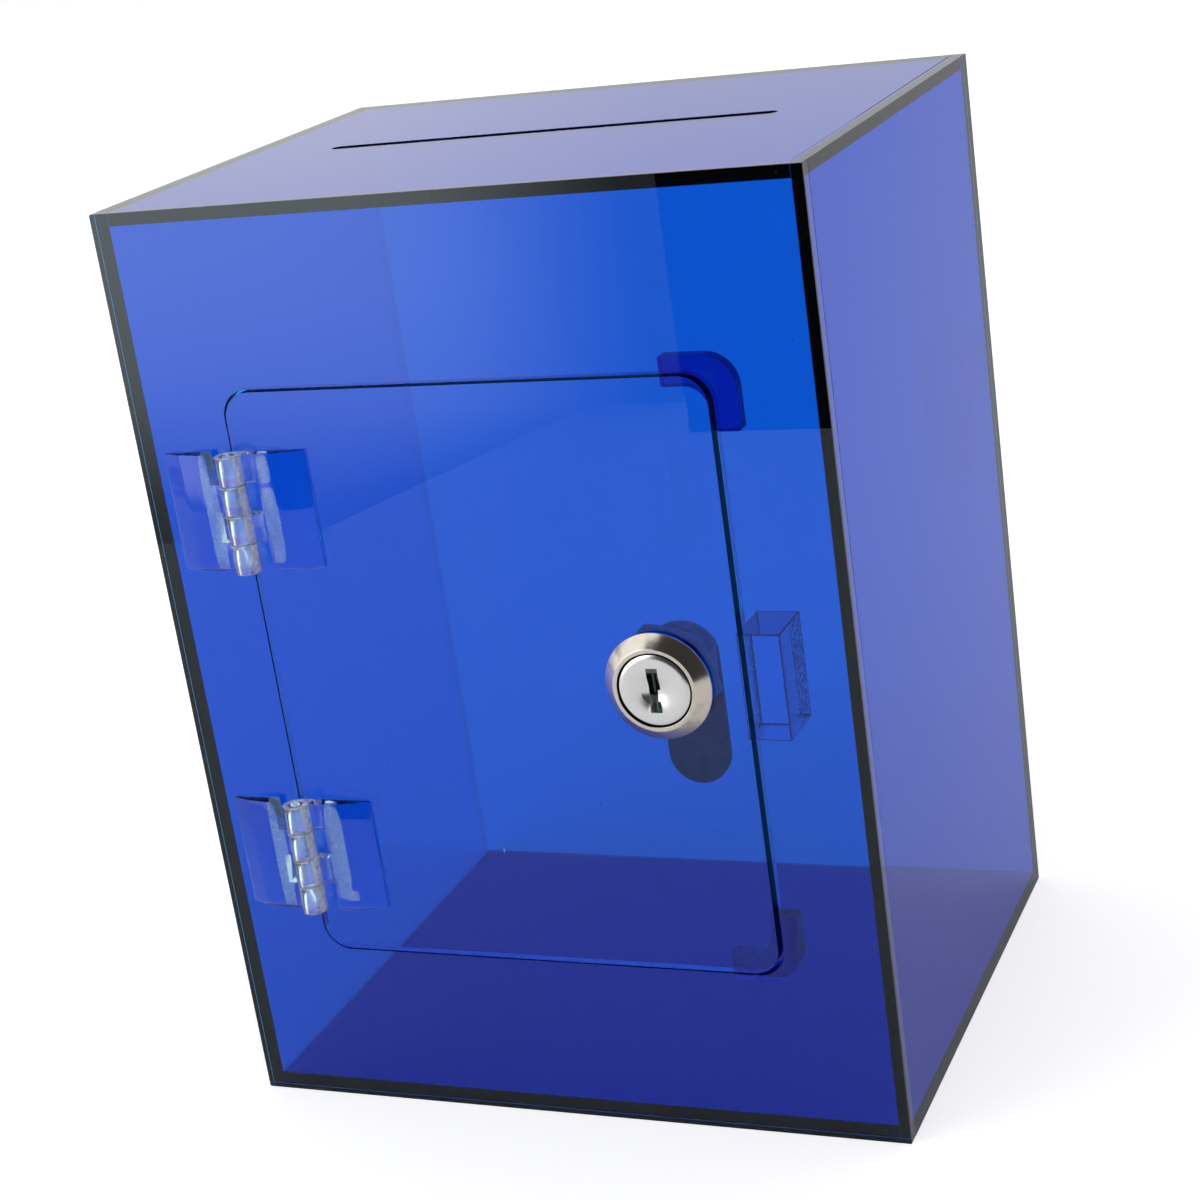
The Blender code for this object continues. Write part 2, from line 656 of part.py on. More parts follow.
def wafer_springs(parent):
    """Makes the spring under each wafer's ear, pressed as the drawn-in wafer holds it."""
    low = -POCKET_HALF_HEIGHT + SPRING_SEAT_GAP + SPRING_WIRE / 2
    high = EAR_LIFT - SPRING_SEAT_GAP - SPRING_WIRE / 2
    points = helix((SPRING_DIAMETER - SPRING_WIRE) / 2, low, high, SPRING_TURNS)
    print("least gap in a wafer spring, m:", round(least_gap(points, SPRING_WIRE), 6))
    side = (POCKET_EDGE + POCKET_OUTER) / 2
    for number in range(WAFERS):
        name = "wafer_spring_" + str(number + 1)
        wire = bpy.data.curves.new(name, "CURVE")
        wire.dimensions = "3D"
        wire.bevel_depth = SPRING_WIRE / 2
        wire.bevel_resolution = 1
        wire.use_fill_caps = True
        spline = wire.splines.new("POLY")
        spline.points.add(len(points) - 1)
        for point, place in zip(spline.points, points):
            point.co = (*place, 1)
        piece(name, wire, SPRING_STEEL, parent, (side, wafer_depth(number), 0))


def stop_washer(parent):
    """Makes the washer whose tab meets the body's lug at both ends of the quarter turn."""
    rim = LUG_INNER - STOP_WASHER_GAP
    half_tab = STOP_TAB_ANGLE / 2
    down = -math.pi / 2
    points = arc((0, 0), rim + STOP_TAB_LAP + STOP_WASHER_GAP, down - half_tab, down + half_tab, CORNER_STEPS)
    points += arc((0, 0), rim, down + half_tab, down - half_tab + math.tau, ROUND_STEPS)
    mesh = prism("stop_washer", points, STOP_WASHER_DEPTH, STOP_WASHER_DEPTH + STOP_WASHER)
    item = piece("stop_washer", mesh, ZINC, parent)
    square_hole(item, STOP_WASHER_DEPTH, STOP_WASHER_DEPTH + STOP_WASHER)
    smooth(item)


def square_hole(item, start, end):
    """Cuts the hole that fits over the plug's square tail."""
    width = TAIL_WIDTH + 2 * TAIL_CLEARANCE
    cut(item, prism(item.name + "_hole", centred(width, width), start - OVERRUN, end + OVERRUN))


def lock_cam(parent):
    """Makes the cam, long enough to pass behind the whole catch block when it is turned out."""
    reach = OPENING_EDGE - CATCH_LAP + CATCH_WIDTH + CAM_OVERHANG - LOCK_X
    half = CAM_WIDTH / 2
    points = arc((0, 0), half, 0, math.pi, ROUND_STEPS // 2)
    points += arc((0, half - reach), half, math.pi, math.tau, ROUND_STEPS // 2)
    mesh = prism("lock_cam", points, CAM_DEPTH, CAM_DEPTH + CAM_THICKNESS)
    item = piece("lock_cam", mesh, DARK_STEEL, parent)
    square_hole(item, CAM_DEPTH, CAM_DEPTH + CAM_THICKNESS)
    smooth(item)


def cam_fixing(parent):
    """Makes the screw that holds the cam on the tail, and its washer."""
    bore = SCREW_DIAMETER / 2 + SCREW_CLEARANCE
    rim = SCREW_WASHER_DIAMETER / 2
    back = SCREW_WASHER_DEPTH + SCREW_WASHER
    profile = [(bore, SCREW_WASHER_DEPTH), (rim, SCREW_WASHER_DEPTH), (rim, back), (bore, back)]
    smooth(piece("screw_washer", turned("screw_washer", profile, SMALL_ROUND_STEPS), ZINC, parent))

    head = SCREW_HEAD_DIAMETER / 2
    shank = SCREW_DIAMETER / 2
    top = SCREW_HEAD_DEPTH + SCREW_HEAD
    fillet = SCREW_HEAD_FILLET
    profile = [(0, SCREW_TIP_DEPTH), (shank, SCREW_TIP_DEPTH), (shank, SCREW_HEAD_DEPTH)]
    profile.append((head, SCREW_HEAD_DEPTH))
    profile += arc((head - fillet, top - fillet), fillet, 0, math.pi / 2, CORNER_STEPS)
    profile.append((0, top))
    item = piece("cam_screw", turned("cam_screw", profile, SMALL_ROUND_STEPS), ZINC, parent)
    half = SCREW_CROSS_WIDTH / 2
    arm = head - fillet - SCREW_CROSS_WIDTH
    cross = []
    for turn in range(4):
        across = (math.cos(turn * math.pi / 2), math.sin(turn * math.pi / 2))
        for u, v in ((arm, -half), (arm, half), (half, half)):
            cross.append((u * across[0] - v * across[1], u * across[1] + v * across[0]))
    cut(item, prism("screw_cross", cross, top - SCREW_CROSS_DEPTH, top + OVERRUN))
    smooth(item)


def lock_nut(parent):
    """Makes the hexagonal nut that clamps the lock to the door."""
    radius = NUT_FLATS / 2 / math.cos(math.pi / 6)
    corners = [NUT_TURN + side * math.pi / 3 for side in range(6)]
    outline = [(radius * math.cos(a), radius * math.sin(a)) for a in corners]
    mesh = prism("lock_nut", outline, BACK_OF_SHEET, BACK_OF_SHEET + NUT_THICKNESS)
    item = piece("lock_nut", mesh, NICKEL, parent)
    bore = circle(BARREL_RADIUS + SHANK_CLEARANCE, ROUND_STEPS)
    cut(item, prism("nut_bore", bore, BACK_OF_SHEET - OVERRUN, BACK_OF_SHEET + NUT_THICKNESS + OVERRUN))
    smooth(item)


def main():
    """Builds the box, then all that swings with the door, then all that turns in the lock."""
    clear_scene()
    panels()
    corner_stop("upper_corner_stop", 1, UPPER_STOP_OUT, UPPER_STOP_IN)
    corner_stop("lower_corner_stop", -1, LOWER_STOP_OUT, LOWER_STOP_IN)
    catch_block()
    door = pivot("door_hinge_axis", (HINGE_X, HINGE_Y, FRONT_MID))
    door_panel(door)
    hinges(door)
    lock_place = (LOCK_X - HINGE_X, FRONT_FACE - HINGE_Y, 0)
    fixed = pivot("lock_place", lock_place, door)
    lock_body(fixed)
    lock_nut(fixed)
    core = pivot("lock_turn_axis", lock_place, door)
    lock_plug(core)
    wafers(core)
    wafer_springs(core)
    stop_washer(core)
    lock_cam(core)
    cam_fixing(core)


main()
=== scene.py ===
"""Looks of a see-through blue acrylic money box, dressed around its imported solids.

Every piece is made in metres in the frame of the solids: +Z is up and the front faces -Y. The box
is six cemented sheets, a door on two clear hinges, and a quarter-turn cam lock in the door.
"""

import json
import logging
import math
from dataclasses import dataclass, replace
from enum import Enum

import bmesh
import bpy
from mathutils import Matrix, Vector

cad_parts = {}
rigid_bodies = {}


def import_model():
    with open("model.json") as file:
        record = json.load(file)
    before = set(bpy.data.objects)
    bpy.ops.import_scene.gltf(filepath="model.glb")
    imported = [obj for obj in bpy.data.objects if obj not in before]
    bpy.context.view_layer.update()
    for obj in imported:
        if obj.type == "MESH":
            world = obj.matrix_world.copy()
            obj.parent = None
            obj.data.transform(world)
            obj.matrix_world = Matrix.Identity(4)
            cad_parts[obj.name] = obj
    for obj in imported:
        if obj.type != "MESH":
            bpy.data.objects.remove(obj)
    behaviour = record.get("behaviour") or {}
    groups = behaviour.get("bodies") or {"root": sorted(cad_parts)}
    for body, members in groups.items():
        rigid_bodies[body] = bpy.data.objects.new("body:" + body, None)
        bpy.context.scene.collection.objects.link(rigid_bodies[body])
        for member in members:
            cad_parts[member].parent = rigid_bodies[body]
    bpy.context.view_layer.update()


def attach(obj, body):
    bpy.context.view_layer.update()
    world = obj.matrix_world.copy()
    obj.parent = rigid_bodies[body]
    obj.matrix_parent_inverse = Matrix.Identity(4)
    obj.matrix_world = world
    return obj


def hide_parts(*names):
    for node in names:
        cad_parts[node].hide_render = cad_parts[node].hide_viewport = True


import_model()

LOG = logging.getLogger("money_box")

Point = tuple[float, float]
Colour = tuple[float, float, float]
Span = tuple[float, float]

MM = 0.001
# The box's outer sizes, its sheets' thickness, and the places that pieces share.
WIDTH, DEPTH, HEIGHT = 150 * MM, 120 * MM, 200 * MM
SHEET = 3 * MM
FRONT = -DEPTH / 2
BEHIND_FRONT = FRONT + SHEET
INSIDE = WIDTH / 2 - SHEET
LOCK_X, LOCK_Z = 34 * MM, 100 * MM
LOCK_AXIS = Vector((LOCK_X, FRONT, LOCK_Z))
# The gap that cement fills, how far it wets both faces, and how far it stays off the edges.
FILM = 0.02 * MM
SKIN = 0.06 * MM
LAP = 0.12 * MM
# How far a cutter reaches past what it cuts.
PAST = 1 * MM
QUARTER = math.pi / 2


class Body(Enum):
    """The moving bodies that pieces ride on."""

    BOX = "box"
    DOOR = "door"
    CORE = "lock_core"


class Axis(Enum):
    """The direction in which an outline is drawn out."""

    X = 0
    Y = 1
    Z = 2


class Cut(Enum):
    """What a cutter does to a piece: it is taken away, or only what lies inside it is kept."""

    AWAY = "DIFFERENCE"
    INSIDE = "INTERSECT"


class Leaf(Enum):
    """A hinge's two leaves, by the side of the axis that each lies on."""

    FRAME = -1
    DOOR = 1


class Slot(Enum):
    """The record's material slots, one of which is passed with each piece."""

    BLUE = "blue_acrylic"
    CLEAR = "clear_acrylic"
    NICKEL = "nickel"
    PLUG = "plug_silver"
    STEEL = "dark_steel"


class Wire:
    """One node socket that takes part in Python sums.

    Args:
        board: The board that the socket's node stands on.
        socket: The output socket.
    """

    def __init__(self, board: "Board", socket: bpy.types.NodeSocket) -> None:
        """Keeps the socket and its board."""
        self.board = board
        self.socket = socket

    def maths(self, operation: str, *others: "Wire | float") -> "Wire":
        """Puts this wire through a Math node.

        Args:
            operation: The Math node's operation.
            others: What goes into its further inputs.

        Returns:
            The result's wire.
        """
        values = {place + 1: other for place, other in enumerate(others)}
        node = self.board.add("ShaderNodeMath", {"operation": operation}, {0: self, **values})
        return self.board.wire(node)

    def __add__(self, other: "Wire | float") -> "Wire":
        """Gives the sum."""
        return self.maths("ADD", other)

    __radd__ = __add__

    def __mul__(self, other: "Wire | float") -> "Wire":
        """Gives the product."""
        return self.maths("MULTIPLY", other)

    __rmul__ = __mul__

    def __sub__(self, other: "Wire | float") -> "Wire":
        """Gives the difference."""
        return self.maths("SUBTRACT", other)

    def __rsub__(self, other: float) -> "Wire":
        """Gives a number less this wire."""
        return self.maths("MULTIPLY", -1.0) + other

    def __truediv__(self, other: "Wire | float") -> "Wire":
        """Gives the quotient."""
        return self.maths("DIVIDE", other)

    def __neg__(self) -> "Wire":
        """Gives the wire with its sign turned."""
        return self.maths("MULTIPLY", -1.0)

    def __abs__(self) -> "Wire":
        """Gives the wire without its sign."""
        return self.maths("ABSOLUTE")

    def __pow__(self, other: float) -> "Wire":
        """Gives the wire raised to a power."""
        return self.maths("POWER", other)

    def above(self, limit: "Wire | float") -> "Wire":
        """Gives 1 where the wire is above a limit, and 0 elsewhere."""
        return self.maths("GREATER_THAN", limit)

    def below(self, limit: "Wire | float") -> "Wire":
        """Gives 1 where the wire is below a limit, and 0 elsewhere."""
        return self.maths("LESS_THAN", limit)

    def most(self, other: "Wire | float") -> "Wire":
        """Gives the larger of two."""
        return self.maths("MAXIMUM", other)

    def least(self, other: "Wire | float") -> "Wire":
        """Gives the smaller of two."""
        return self.maths("MINIMUM", other)

    def ramp(self, low: float, high: float, smooth: bool = True) -> "Wire":
        """Gives 0 below low and 1 above high, with a rise between them.

        Args:
            low: Where the rise starts.
            high: Where it ends; it may lie below low, which turns the rise round.
            smooth: Whether the rise is rounded at its ends.

        Returns:
            The share's wire.
        """
        kind = "SMOOTHSTEP" if smooth else "LINEAR"
        values = {"Value": self, "From Min": low, "From Max": high, "To Min": 0.0, "To Max": 1.0}
        node = self.board.add("ShaderNodeMapRange", {"interpolation_type": kind, "clamp": True}, values)
        return self.board.wire(node)


class Board:
    """A node tree that is filled by one method, for shaders and for shapes.

    Args:
        tree: The tree to fill.
    """

    def __init__(self, tree: bpy.types.NodeTree) -> None:
        """Keeps the tree."""
        self.tree = tree

    def add(self, kind: str, settings: dict | None = None, inputs: dict | None = None) -> bpy.types.Node:
        """Adds a node.

        Args:
            kind: The node's type.
            settings: Its own settings, set before its sockets; a ramp's stops are given as "stops".
            inputs: What each socket gets, by its name or number: a wire, a socket or a value.

        Returns:
            The node.
        """
        node = self.tree.nodes.new(kind)
        for name, value in (settings or {}).items():
            if name == "stops":
                self._set_stops(node, value)
            else:
                setattr(node, name, value)
        for name, value in (inputs or {}).items():
            if isinstance(value, Wire):
                self.tree.links.new(value.socket, node.inputs[name])
            elif isinstance(value, bpy.types.NodeSocket):
                self.tree.links.new(value, node.inputs[name])
            else:
                node.inputs[name].default_value = value
        return node

    @staticmethod
    def _set_stops(node: bpy.types.Node, stops: list[tuple[float, Colour]]) -> None:
        """Gives a colour ramp its stops.

        Args:
            node: The ramp's node.
            stops: Places from 0 to 1, each with its colour.
        """
        ramp = node.color_ramp.elements
        while len(ramp) < len(stops):
            ramp.new(1.0)
        for stop, (place, colour) in zip(ramp, stops):
            stop.position = place
            stop.color = (*colour, 1.0)

    def wire(self, node: bpy.types.Node, output: str | int = 0) -> Wire:
        """Wraps one of a node's outputs."""
        return Wire(self, node.outputs[output])

    def split(self, vector: Wire) -> tuple[Wire, Wire, Wire]:
        """Splits a vector into its three parts."""
        node = self.add("ShaderNodeSeparateXYZ", None, {0: vector})
        return self.wire(node, 0), self.wire(node, 1), self.wire(node, 2)

    def join(self, x: Wire | float, y: Wire | float, z: Wire | float) -> Wire:
        """Joins three values into a vector."""
        return self.wire(self.add("ShaderNodeCombineXYZ", None, {0: x, 1: y, 2: z}))


class ShaderBoard(Board):
    """A material's tree, with the object's own coordinates and the patterns that finishes share.

    Args:
        material: The material to fill.
    """

    def __init__(self, material: bpy.types.Material) -> None:
        """Empties the material's tree."""
        material.use_nodes = True
        material.node_tree.nodes.clear()
        super().__init__(material.node_tree)
        self.out = self.add("ShaderNodeOutputMaterial")
        coordinates = self.add("ShaderNodeTexCoord")
        self.place = self.wire(coordinates, "Object")
        self.facing = self.wire(coordinates, "Normal")

    def moved(self, centre: Vector, scale: Colour = (1.0, 1.0, 1.0)) -> Wire:
        """Gives the place relative to a point, stretched along each axis.

        Args:
            centre: The point.
            scale: How much each axis is stretched.

        Returns:
            The vector's wire.
        """
        away = {1: tuple(-part for part in centre)}
        shifted = self.wire(self.add("ShaderNodeVectorMath", {"operation": "ADD"}, {0: self.place, **away}))
        return self.wire(self.add("ShaderNodeVectorMath", {"operation": "MULTIPLY"}, {0: shifted, 1: scale}))

    def noise(self, vector: Wire, size: float, detail: float = 2.0, roughness: float = 0.5) -> Wire:
        """Gives soft noise whose features are about size metres wide."""
        inputs = {"Vector": vector, "Scale": 1.0 / size, "Detail": detail, "Roughness": roughness}
        return self.wire(self.add("ShaderNodeTexNoise", {"noise_dimensions": "3D"}, inputs), 0)

    def specks(self, vector: Wire, spacing: float, radius: float, share: float) -> Wire:
        """Gives sparse round specks.

        Args:
            vector: The place that the specks stand in.
            spacing: The mean distance between the cells, in metres.
            radius: The largest speck's radius, in metres.
            share: The share of the cells that hold a speck.

        Returns:
            A mask that is 1 in the specks.
        """
        inputs = {"Vector": vector, "Scale": 1.0 / spacing, "Randomness": 1.0}
        cell = self.add("ShaderNodeTexVoronoi", {"feature": "F1"}, inputs)
        near = self.wire(cell, "Distance")
        colour = self.wire(cell, "Color")
        pick, size, _ = self.split(colour)
        limit = size * (radius / spacing)
        return (limit - near).ramp(0.0, 0.3 * radius / spacing) * pick.below(share)

    def colour_mix(self, factor: Wire | float, first: Wire | Colour, second: Wire | Colour) -> Wire:
        """Blends two colours by a factor.

        Args:
            factor: The second colour's share.
            first: The first colour.
            second: The second colour.

        Returns:
            The blend's wire.
        """
        ends = {6: first, 7: second}
        values = {key: (*value, 1.0) if isinstance(value, tuple) else value for key, value in ends.items()}
        node = self.add("ShaderNodeMix", {"data_type": "RGBA"}, {0: factor, **values})
        return self.wire(node, 2)

    def bump(self, height: Wire, strength: float, distance: float) -> Wire:
        """Turns a height into a normal."""
        inputs = {"Height": height, "Strength": strength, "Distance": distance}
        return self.wire(self.add("ShaderNodeBump", None, inputs))

    def principled(self, inputs: dict) -> Wire:
        """Adds the main shader."""
        return self.wire(self.add("ShaderNodeBsdfPrincipled", None, inputs))

    def surface(self, shader: Wire) -> None:
        """Wires a shader to the output."""
        self.tree.links.new(shader.socket, self.out.inputs["Surface"])

    def absorb(self, colour: Colour, density: float) -> None:
        """Fills the inside with a tint that deepens with the way that light takes.

        Args:
            colour: What the inside lets through.
            density: How fast light is taken, per metre.
        """
        inputs = {"Color": (*colour, 1.0), "Density": density}
        inside = self.add("ShaderNodeVolumeAbsorption", None, inputs)
        self.tree.links.new(inside.outputs[0], self.out.inputs["Volume"])


@dataclass(frozen=True)
class AirGap:
    """A rounded spot under a leaf that the cement didn't fill.

    Attributes:
        x: Its middle, across.
        z: Its middle, upwards.
        wide: Half its width.
        high: Half its height.
        waver: How much its rim wavers.
        rim: Between which shares of its reach it ends.
    """

    x: float
    z: float
    wide: float
    high: float
    waver: float = 0.9
    rim: Span = (1.06, 0.94)

    def shifted(self, x: float, z: float) -> "AirGap":
        """Gives the same spot further right and further up."""
        return replace(self, x=self.x + x, z=self.z + z)

    def mask(self, board: ShaderBoard, noise: Wire) -> Wire:
        """Gives 1 inside the spot, whose rim wavers with a noise about 0.

        Args:
            board: The material's tree.
            noise: The noise.

        Returns:
            The mask's wire.
        """
        x, _, z = board.split(board.moved(Vector((self.x, 0, self.z)), (1 / self.wide, 1.0, 1 / self.high)))
        reach = x * x * x * x + z * z * z * z
        return (reach + noise * self.waver).ramp(*self.rim, False)


@dataclass(frozen=True)
class Cement:
    """A block of space in which cement wets a surface, which there neither shines nor bends light.

    Attributes:
        low: Its lowest corner.
        high: Its highest corner.
        gaps: The spots that the cement missed.
        bend: The middle across and upwards, the radius and the upward side of a rounded right corner.
        waver: How large the bends in the gaps' rims are.
    """

    low: Colour
    high: Colour
    gaps: tuple[AirGap, ...] = ()
    bend: tuple[float, float, float, int] | None = None
    waver: float = 2.5 * MM

    def block(self, board: ShaderBoard) -> Wire:
        """Gives 1 in the whole block.

        Args:
            board: The material's tree.

        Returns:
            The mask's wire.
        """
        inside = None
        for part, low, high in zip(board.split(board.place), self.low, self.high):
            here = part.above(low) * part.below(high)
            inside = here if inside is None else inside * here
        return inside

    def mask(self, board: ShaderBoard) -> Wire:
        """Gives 1 where the cement is.

        Args:
            board: The material's tree.

        Returns:
            The mask's wire.
        """
        inside = self.block(board)
        if self.bend:
            middle, height, radius, up = self.bend
            x, _, z = board.split(board.moved(Vector((middle, 0, height)), (1.0, 1.0, up)))
            across, along = x.most(0.0), z.most(0.0)
            inside = inside * (across * across + along * along).below(radius ** 2)
        if self.gaps:
            noise = board.noise(board.place, self.waver) - 0.5
            for gap in self.gaps:
                inside = inside * (1.0 - gap.mask(board, noise))
        return inside


@dataclass(frozen=True)
class Acrylic:
    """Cast or moulded acrylic.

    Attributes:
        name: The material's name.
        colour: What the inside lets through; each part's lack of 1 times the density is taken per metre.
        density: How fast light is taken, per metre.
        sheen: The roughness of the clean surface.
        smear: How much rougher the smears are.
        dust: The share of cells that hold a dust speck.
        wetted: Where cement wets the surface.
        haze: How pale the dried cement in the air gaps is.
        polished: The axis that the polished faces look along, where the others are sawn.
        sawn_reach: How far from the middle the sawn faces go, in the two other directions.
        grain: How rough the sawn faces are.
        shade: How much painted shade darkens the sawn faces seen from outside, where the eye looks into the
            sheet's length.
        frost: How strong the painted highlight on the outer cut edges is, seen only from outside.
        gleam: The tint of the straight-on reflection.
        seam: How dark the lines are where the cement shows at the front's right edge and beside the top.
        knuckles: Between which places across the knuckles lie, whose sides and ends carry a painted pale
            highlight.
        body: How much of the light the faces bend and mirror, where the rest goes straight on.
        chipped: The low and high corners of a block whose wavering edges get painted shade and whose right
            face's rear gets dark streaks.
    """

    name: str
    colour: Colour
    density: float
    sheen: float = 0.0
    smear: float = 0.02
    dust: float = 0.45
    wetted: tuple[Cement, ...] = ()
    haze: float = 0.0
    polished: Axis | None = None
    sawn_reach: Point = (1.0, 1.0)
    grain: float = 0.25
    shade: float = 0.0
    frost: float = 0.0
    gleam: Colour = (1.0, 1.0, 1.0)
    seam: float = 0.0
    knuckles: Span | None = None
    body: float = 1.0
    chipped: tuple[Vector, Vector] | None = None

    def sawn(self, board: ShaderBoard) -> Wire | float:
        """Gives 1 on the sawn faces.

        Args:
            board: The material's tree.

        Returns:
            The mask's wire, or 0 where nothing is sawn.
        """
        if self.polished is None:
            return 0.0
        flat = abs(board.split(board.facing)[self.polished.value]).ramp(0.75, 0.45)
        x, y, z = board.split(board.place)
        second = y if self.polished is Axis.Z else z - HEIGHT / 2
        return flat * abs(x).below(self.sawn_reach[0]) * abs(second).below(self.sawn_reach[1])

    def scars(self, board: ShaderBoard) -> Wire:
        """Gives the painted shade along a block's wavering edges, and the dark streaks on the rear of its
        right face.

        Args:
            board: The material's tree.

        Returns:
            The marks' share.
        """
        low, high = self.chipped
        middle, half = (low + high) / 2, (high - low) / 2
        chips = board.noise(board.place, 0.8 * MM, 3.0, 0.7)
        away = board.split(board.moved(middle))
        rim, waver = 0.27 * MM, 0.5 * MM
        x, y, z = (abs(part) + (chips - 0.5) * waver for part in away)
        x, y, z = x.above(half.x - rim), y.above(half.y - rim), z.above(half.z - rim)
        edges = (x * y + y * z + x * z).least(1.0)
        right = board.split(board.facing)[0].ramp(0.6, 0.9)
        rear = away[1].above(-0.5 * MM)
        rear_streaks = right * rear * (chips.ramp(0.44, 0.58) * 0.8)
        return (edges * 0.85).most(rear_streaks)

    def joints(self, board: ShaderBoard) -> Wire:
        """Gives 1 on the thin lines of cement that show on the right side and on the top.

        Args:
            board: The material's tree.

        Returns:
            The mask's wire.
        """
        x, y, z = board.split(board.place)
        half, under = 0.1 * MM, 0.1 * MM
        side = abs(y - (BEHIND_FRONT + LAP)).below(LAP) * x.above(WIDTH / 2 - under)
        lid = abs(x - (INSIDE - half)).below(half) * z.above(HEIGHT - under)
        return (side * z.ramp(80 * MM, 130 * MM)).most(lid * y.ramp(-25 * MM, 5 * MM))

    def near(self, board: ShaderBoard) -> Wire:
        """Gives 1 where the knuckles are."""
        x, _, _ = board.split(board.place)
        return x.above(self.knuckles[0]) * x.below(self.knuckles[1])

    def cover(self, board: ShaderBoard, shader: Wire, share: Wire, colour: Colour, roughness: float) -> Wire:
        """Lays a film of a plain colour over a shader.

        Args:
            board: The material's tree.
            shader: What it lies on.
            share: How much of it there is.
            colour: Its colour.
            roughness: Its roughness.

        Returns:
            The shader with the film.
        """
        look = {"Base Color": (*colour, 1.0), "Roughness": roughness, "Specular IOR Level": 0.1}
        film = board.principled(look)
        return board.wire(board.add("ShaderNodeMixShader", None, {0: share, 1: shader, 2: film}))

    def cement(self, board: ShaderBoard) -> tuple[Wire | None, Wire | None]:
        """Gives where cement wets the faces, and the whole block of the cement that has air gaps.

        Args:
            board: The material's tree.

        Returns:
            Both masks, each None where there is no such cement.
        """
        wet, block = None, None
        for patch in self.wetted:
            here = patch.mask(board)
            wet = here if wet is None else wet.most(here)
            if patch.gaps:
                block = patch.block(board)
        return wet, block

    def inside(self, board: ShaderBoard, sawn: Wire | float, wet: Wire | None) -> Wire:
        """Makes the see-through shader.

        Args:
            board: The material's tree.
            sawn: 1 on the sawn faces.
            wet: 1 where cement wets the faces.

        Returns:
            The shader.
        """
        smears = board.noise(board.moved(Vector(), (1.0, 1.0, 0.45)), 30 * MM, 4.0, 0.6).ramp(0.55, 0.8)
        height = board.noise(board.place, 45 * MM, 1.0) * (0.008 * MM)
        roughness = smears * self.smear + self.sheen
        if self.polished is not None:
            lines = board.noise(board.moved(Vector(), (3.0, 3.0, 0.12)), 1.1 * MM, 3.0, 0.7)
            height = height + lines * sawn * (0.05 * MM)
            roughness = roughness + sawn * self.grain
        inputs = {
            "Base Color": (1.0, 1.0, 1.0, 1.0),
            "Roughness": roughness,
            "IOR": 1.49,
            "Transmission Weight": 1.0,
            "Specular Tint": (*self.gleam, 1.0),
            "Normal": board.bump(height, 1.0, 1.0),
        }
        if wet is not None:
            share = self.body
            if self.knuckles:
                walls = abs(board.split(board.facing)[0]).ramp(0.5, 0.9) * (1.0 - self.near(board))
                share = 1.0 - walls * 0.75
            inputs["Alpha"] = (1.0 - wet) * share
        return board.principled(inputs)

    def dusted(self, board: ShaderBoard, shader: Wire) -> Wire:
        """Lays dust specks and short fibres over a shader.

        Args:
            board: The material's tree.
            shader: What they lie on.

        Returns:
            The shader with the dust.
        """
        shift = {0: board.noise(board.place, 0.35 * MM) * (0.5 * MM), 1: board.place}
        bent = board.wire(board.add("ShaderNodeVectorMath", {"operation": "ADD"}, shift))
        specks = board.specks(bent, 4 * MM, 0.26 * MM, self.dust)
        tall = board.moved(Vector(), (1.0, 1.0, 0.2))
        fibres = board.specks(tall, 6 * MM, 0.12 * MM, self.dust * 0.5)
        return self.cover(board, shader, specks.most(fibres) * 0.5, (0.75, 0.8, 0.9), 0.8)

    def moulding(self, board: ShaderBoard) -> Wire:
        """Gives the painted highlight: how pale the knuckles' sides and ends and the faces that look down
        are.

        Args:
            board: The material's tree.

        Returns:
            The paleness.
        """
        across, _, up = board.split(board.facing)
        near = self.near(board)
        sides, ends = abs(across).ramp(0.72, 0.95) * near, abs(up).ramp(0.3, 0.7) * near
        pale = sides.most(ends).most((-up).ramp(0.3, 0.7))
        return pale * (board.noise(board.place, 0.9 * MM, 3.0).ramp(0.25, 0.75) * 0.35 + 0.25)

    def build(self) -> bpy.types.Material:
        """Makes the material.

        Returns:
            The material.
        """
        material = bpy.data.materials.new(self.name)
        board = ShaderBoard(material)
        sawn = self.sawn(board)
        wet, block = self.cement(board)
        shader = self.inside(board, sawn, wet)
        if self.dust:
            shader = self.dusted(board, shader)
        if self.haze and block is not None:
            film = (block - wet) * (board.noise(board.place, 1.2 * MM, 3.0).ramp(0.2, 0.8) * 0.5 + 0.5)
            shader = self.cover(board, shader, film * self.haze, (0.52, 0.74, 0.88), 0.6)
        outside = 1.0 - board.wire(board.add("ShaderNodeNewGeometry"), "Backfacing")
        # Painted highlight: a pale film on the outer cut edges, seen only from outside.
        if self.frost:
            x, _, z = board.split(board.place)
            under = 0.07 * MM
            rim = abs(x).above(WIDTH / 2 - under).most(z.above(HEIGHT - under))
            shader = self.cover(board, shader, rim * outside * self.frost, (0.6, 0.55, 0.66), 0.5)
        if self.seam:
            shader = self.cover(board, shader, self.joints(board) * self.seam, (0.004, 0.005, 0.05), 0.4)
        # Painted highlight: a pale film on the knuckles' sides and ends and on faces that look down.
        if self.knuckles:
            shader = self.cover(board, shader, self.moulding(board), (0.84, 0.85, 0.9), 0.4)
        # Painted shade: a near-black film on the sawn faces, seen only from outside.
        if self.shade:
            shader = self.cover(board, shader, sawn * outside * self.shade, (0.002, 0.003, 0.025), 0.35)
        # Painted shade: dark along the block's edges, with dark streaks on the rear of its right face.
        if self.chipped:
            shader = self.cover(board, shader, self.scars(board), (0.03, 0.03, 0.12), 0.5)
        board.surface(shader)
        board.absorb(self.colour, self.density)
        return material


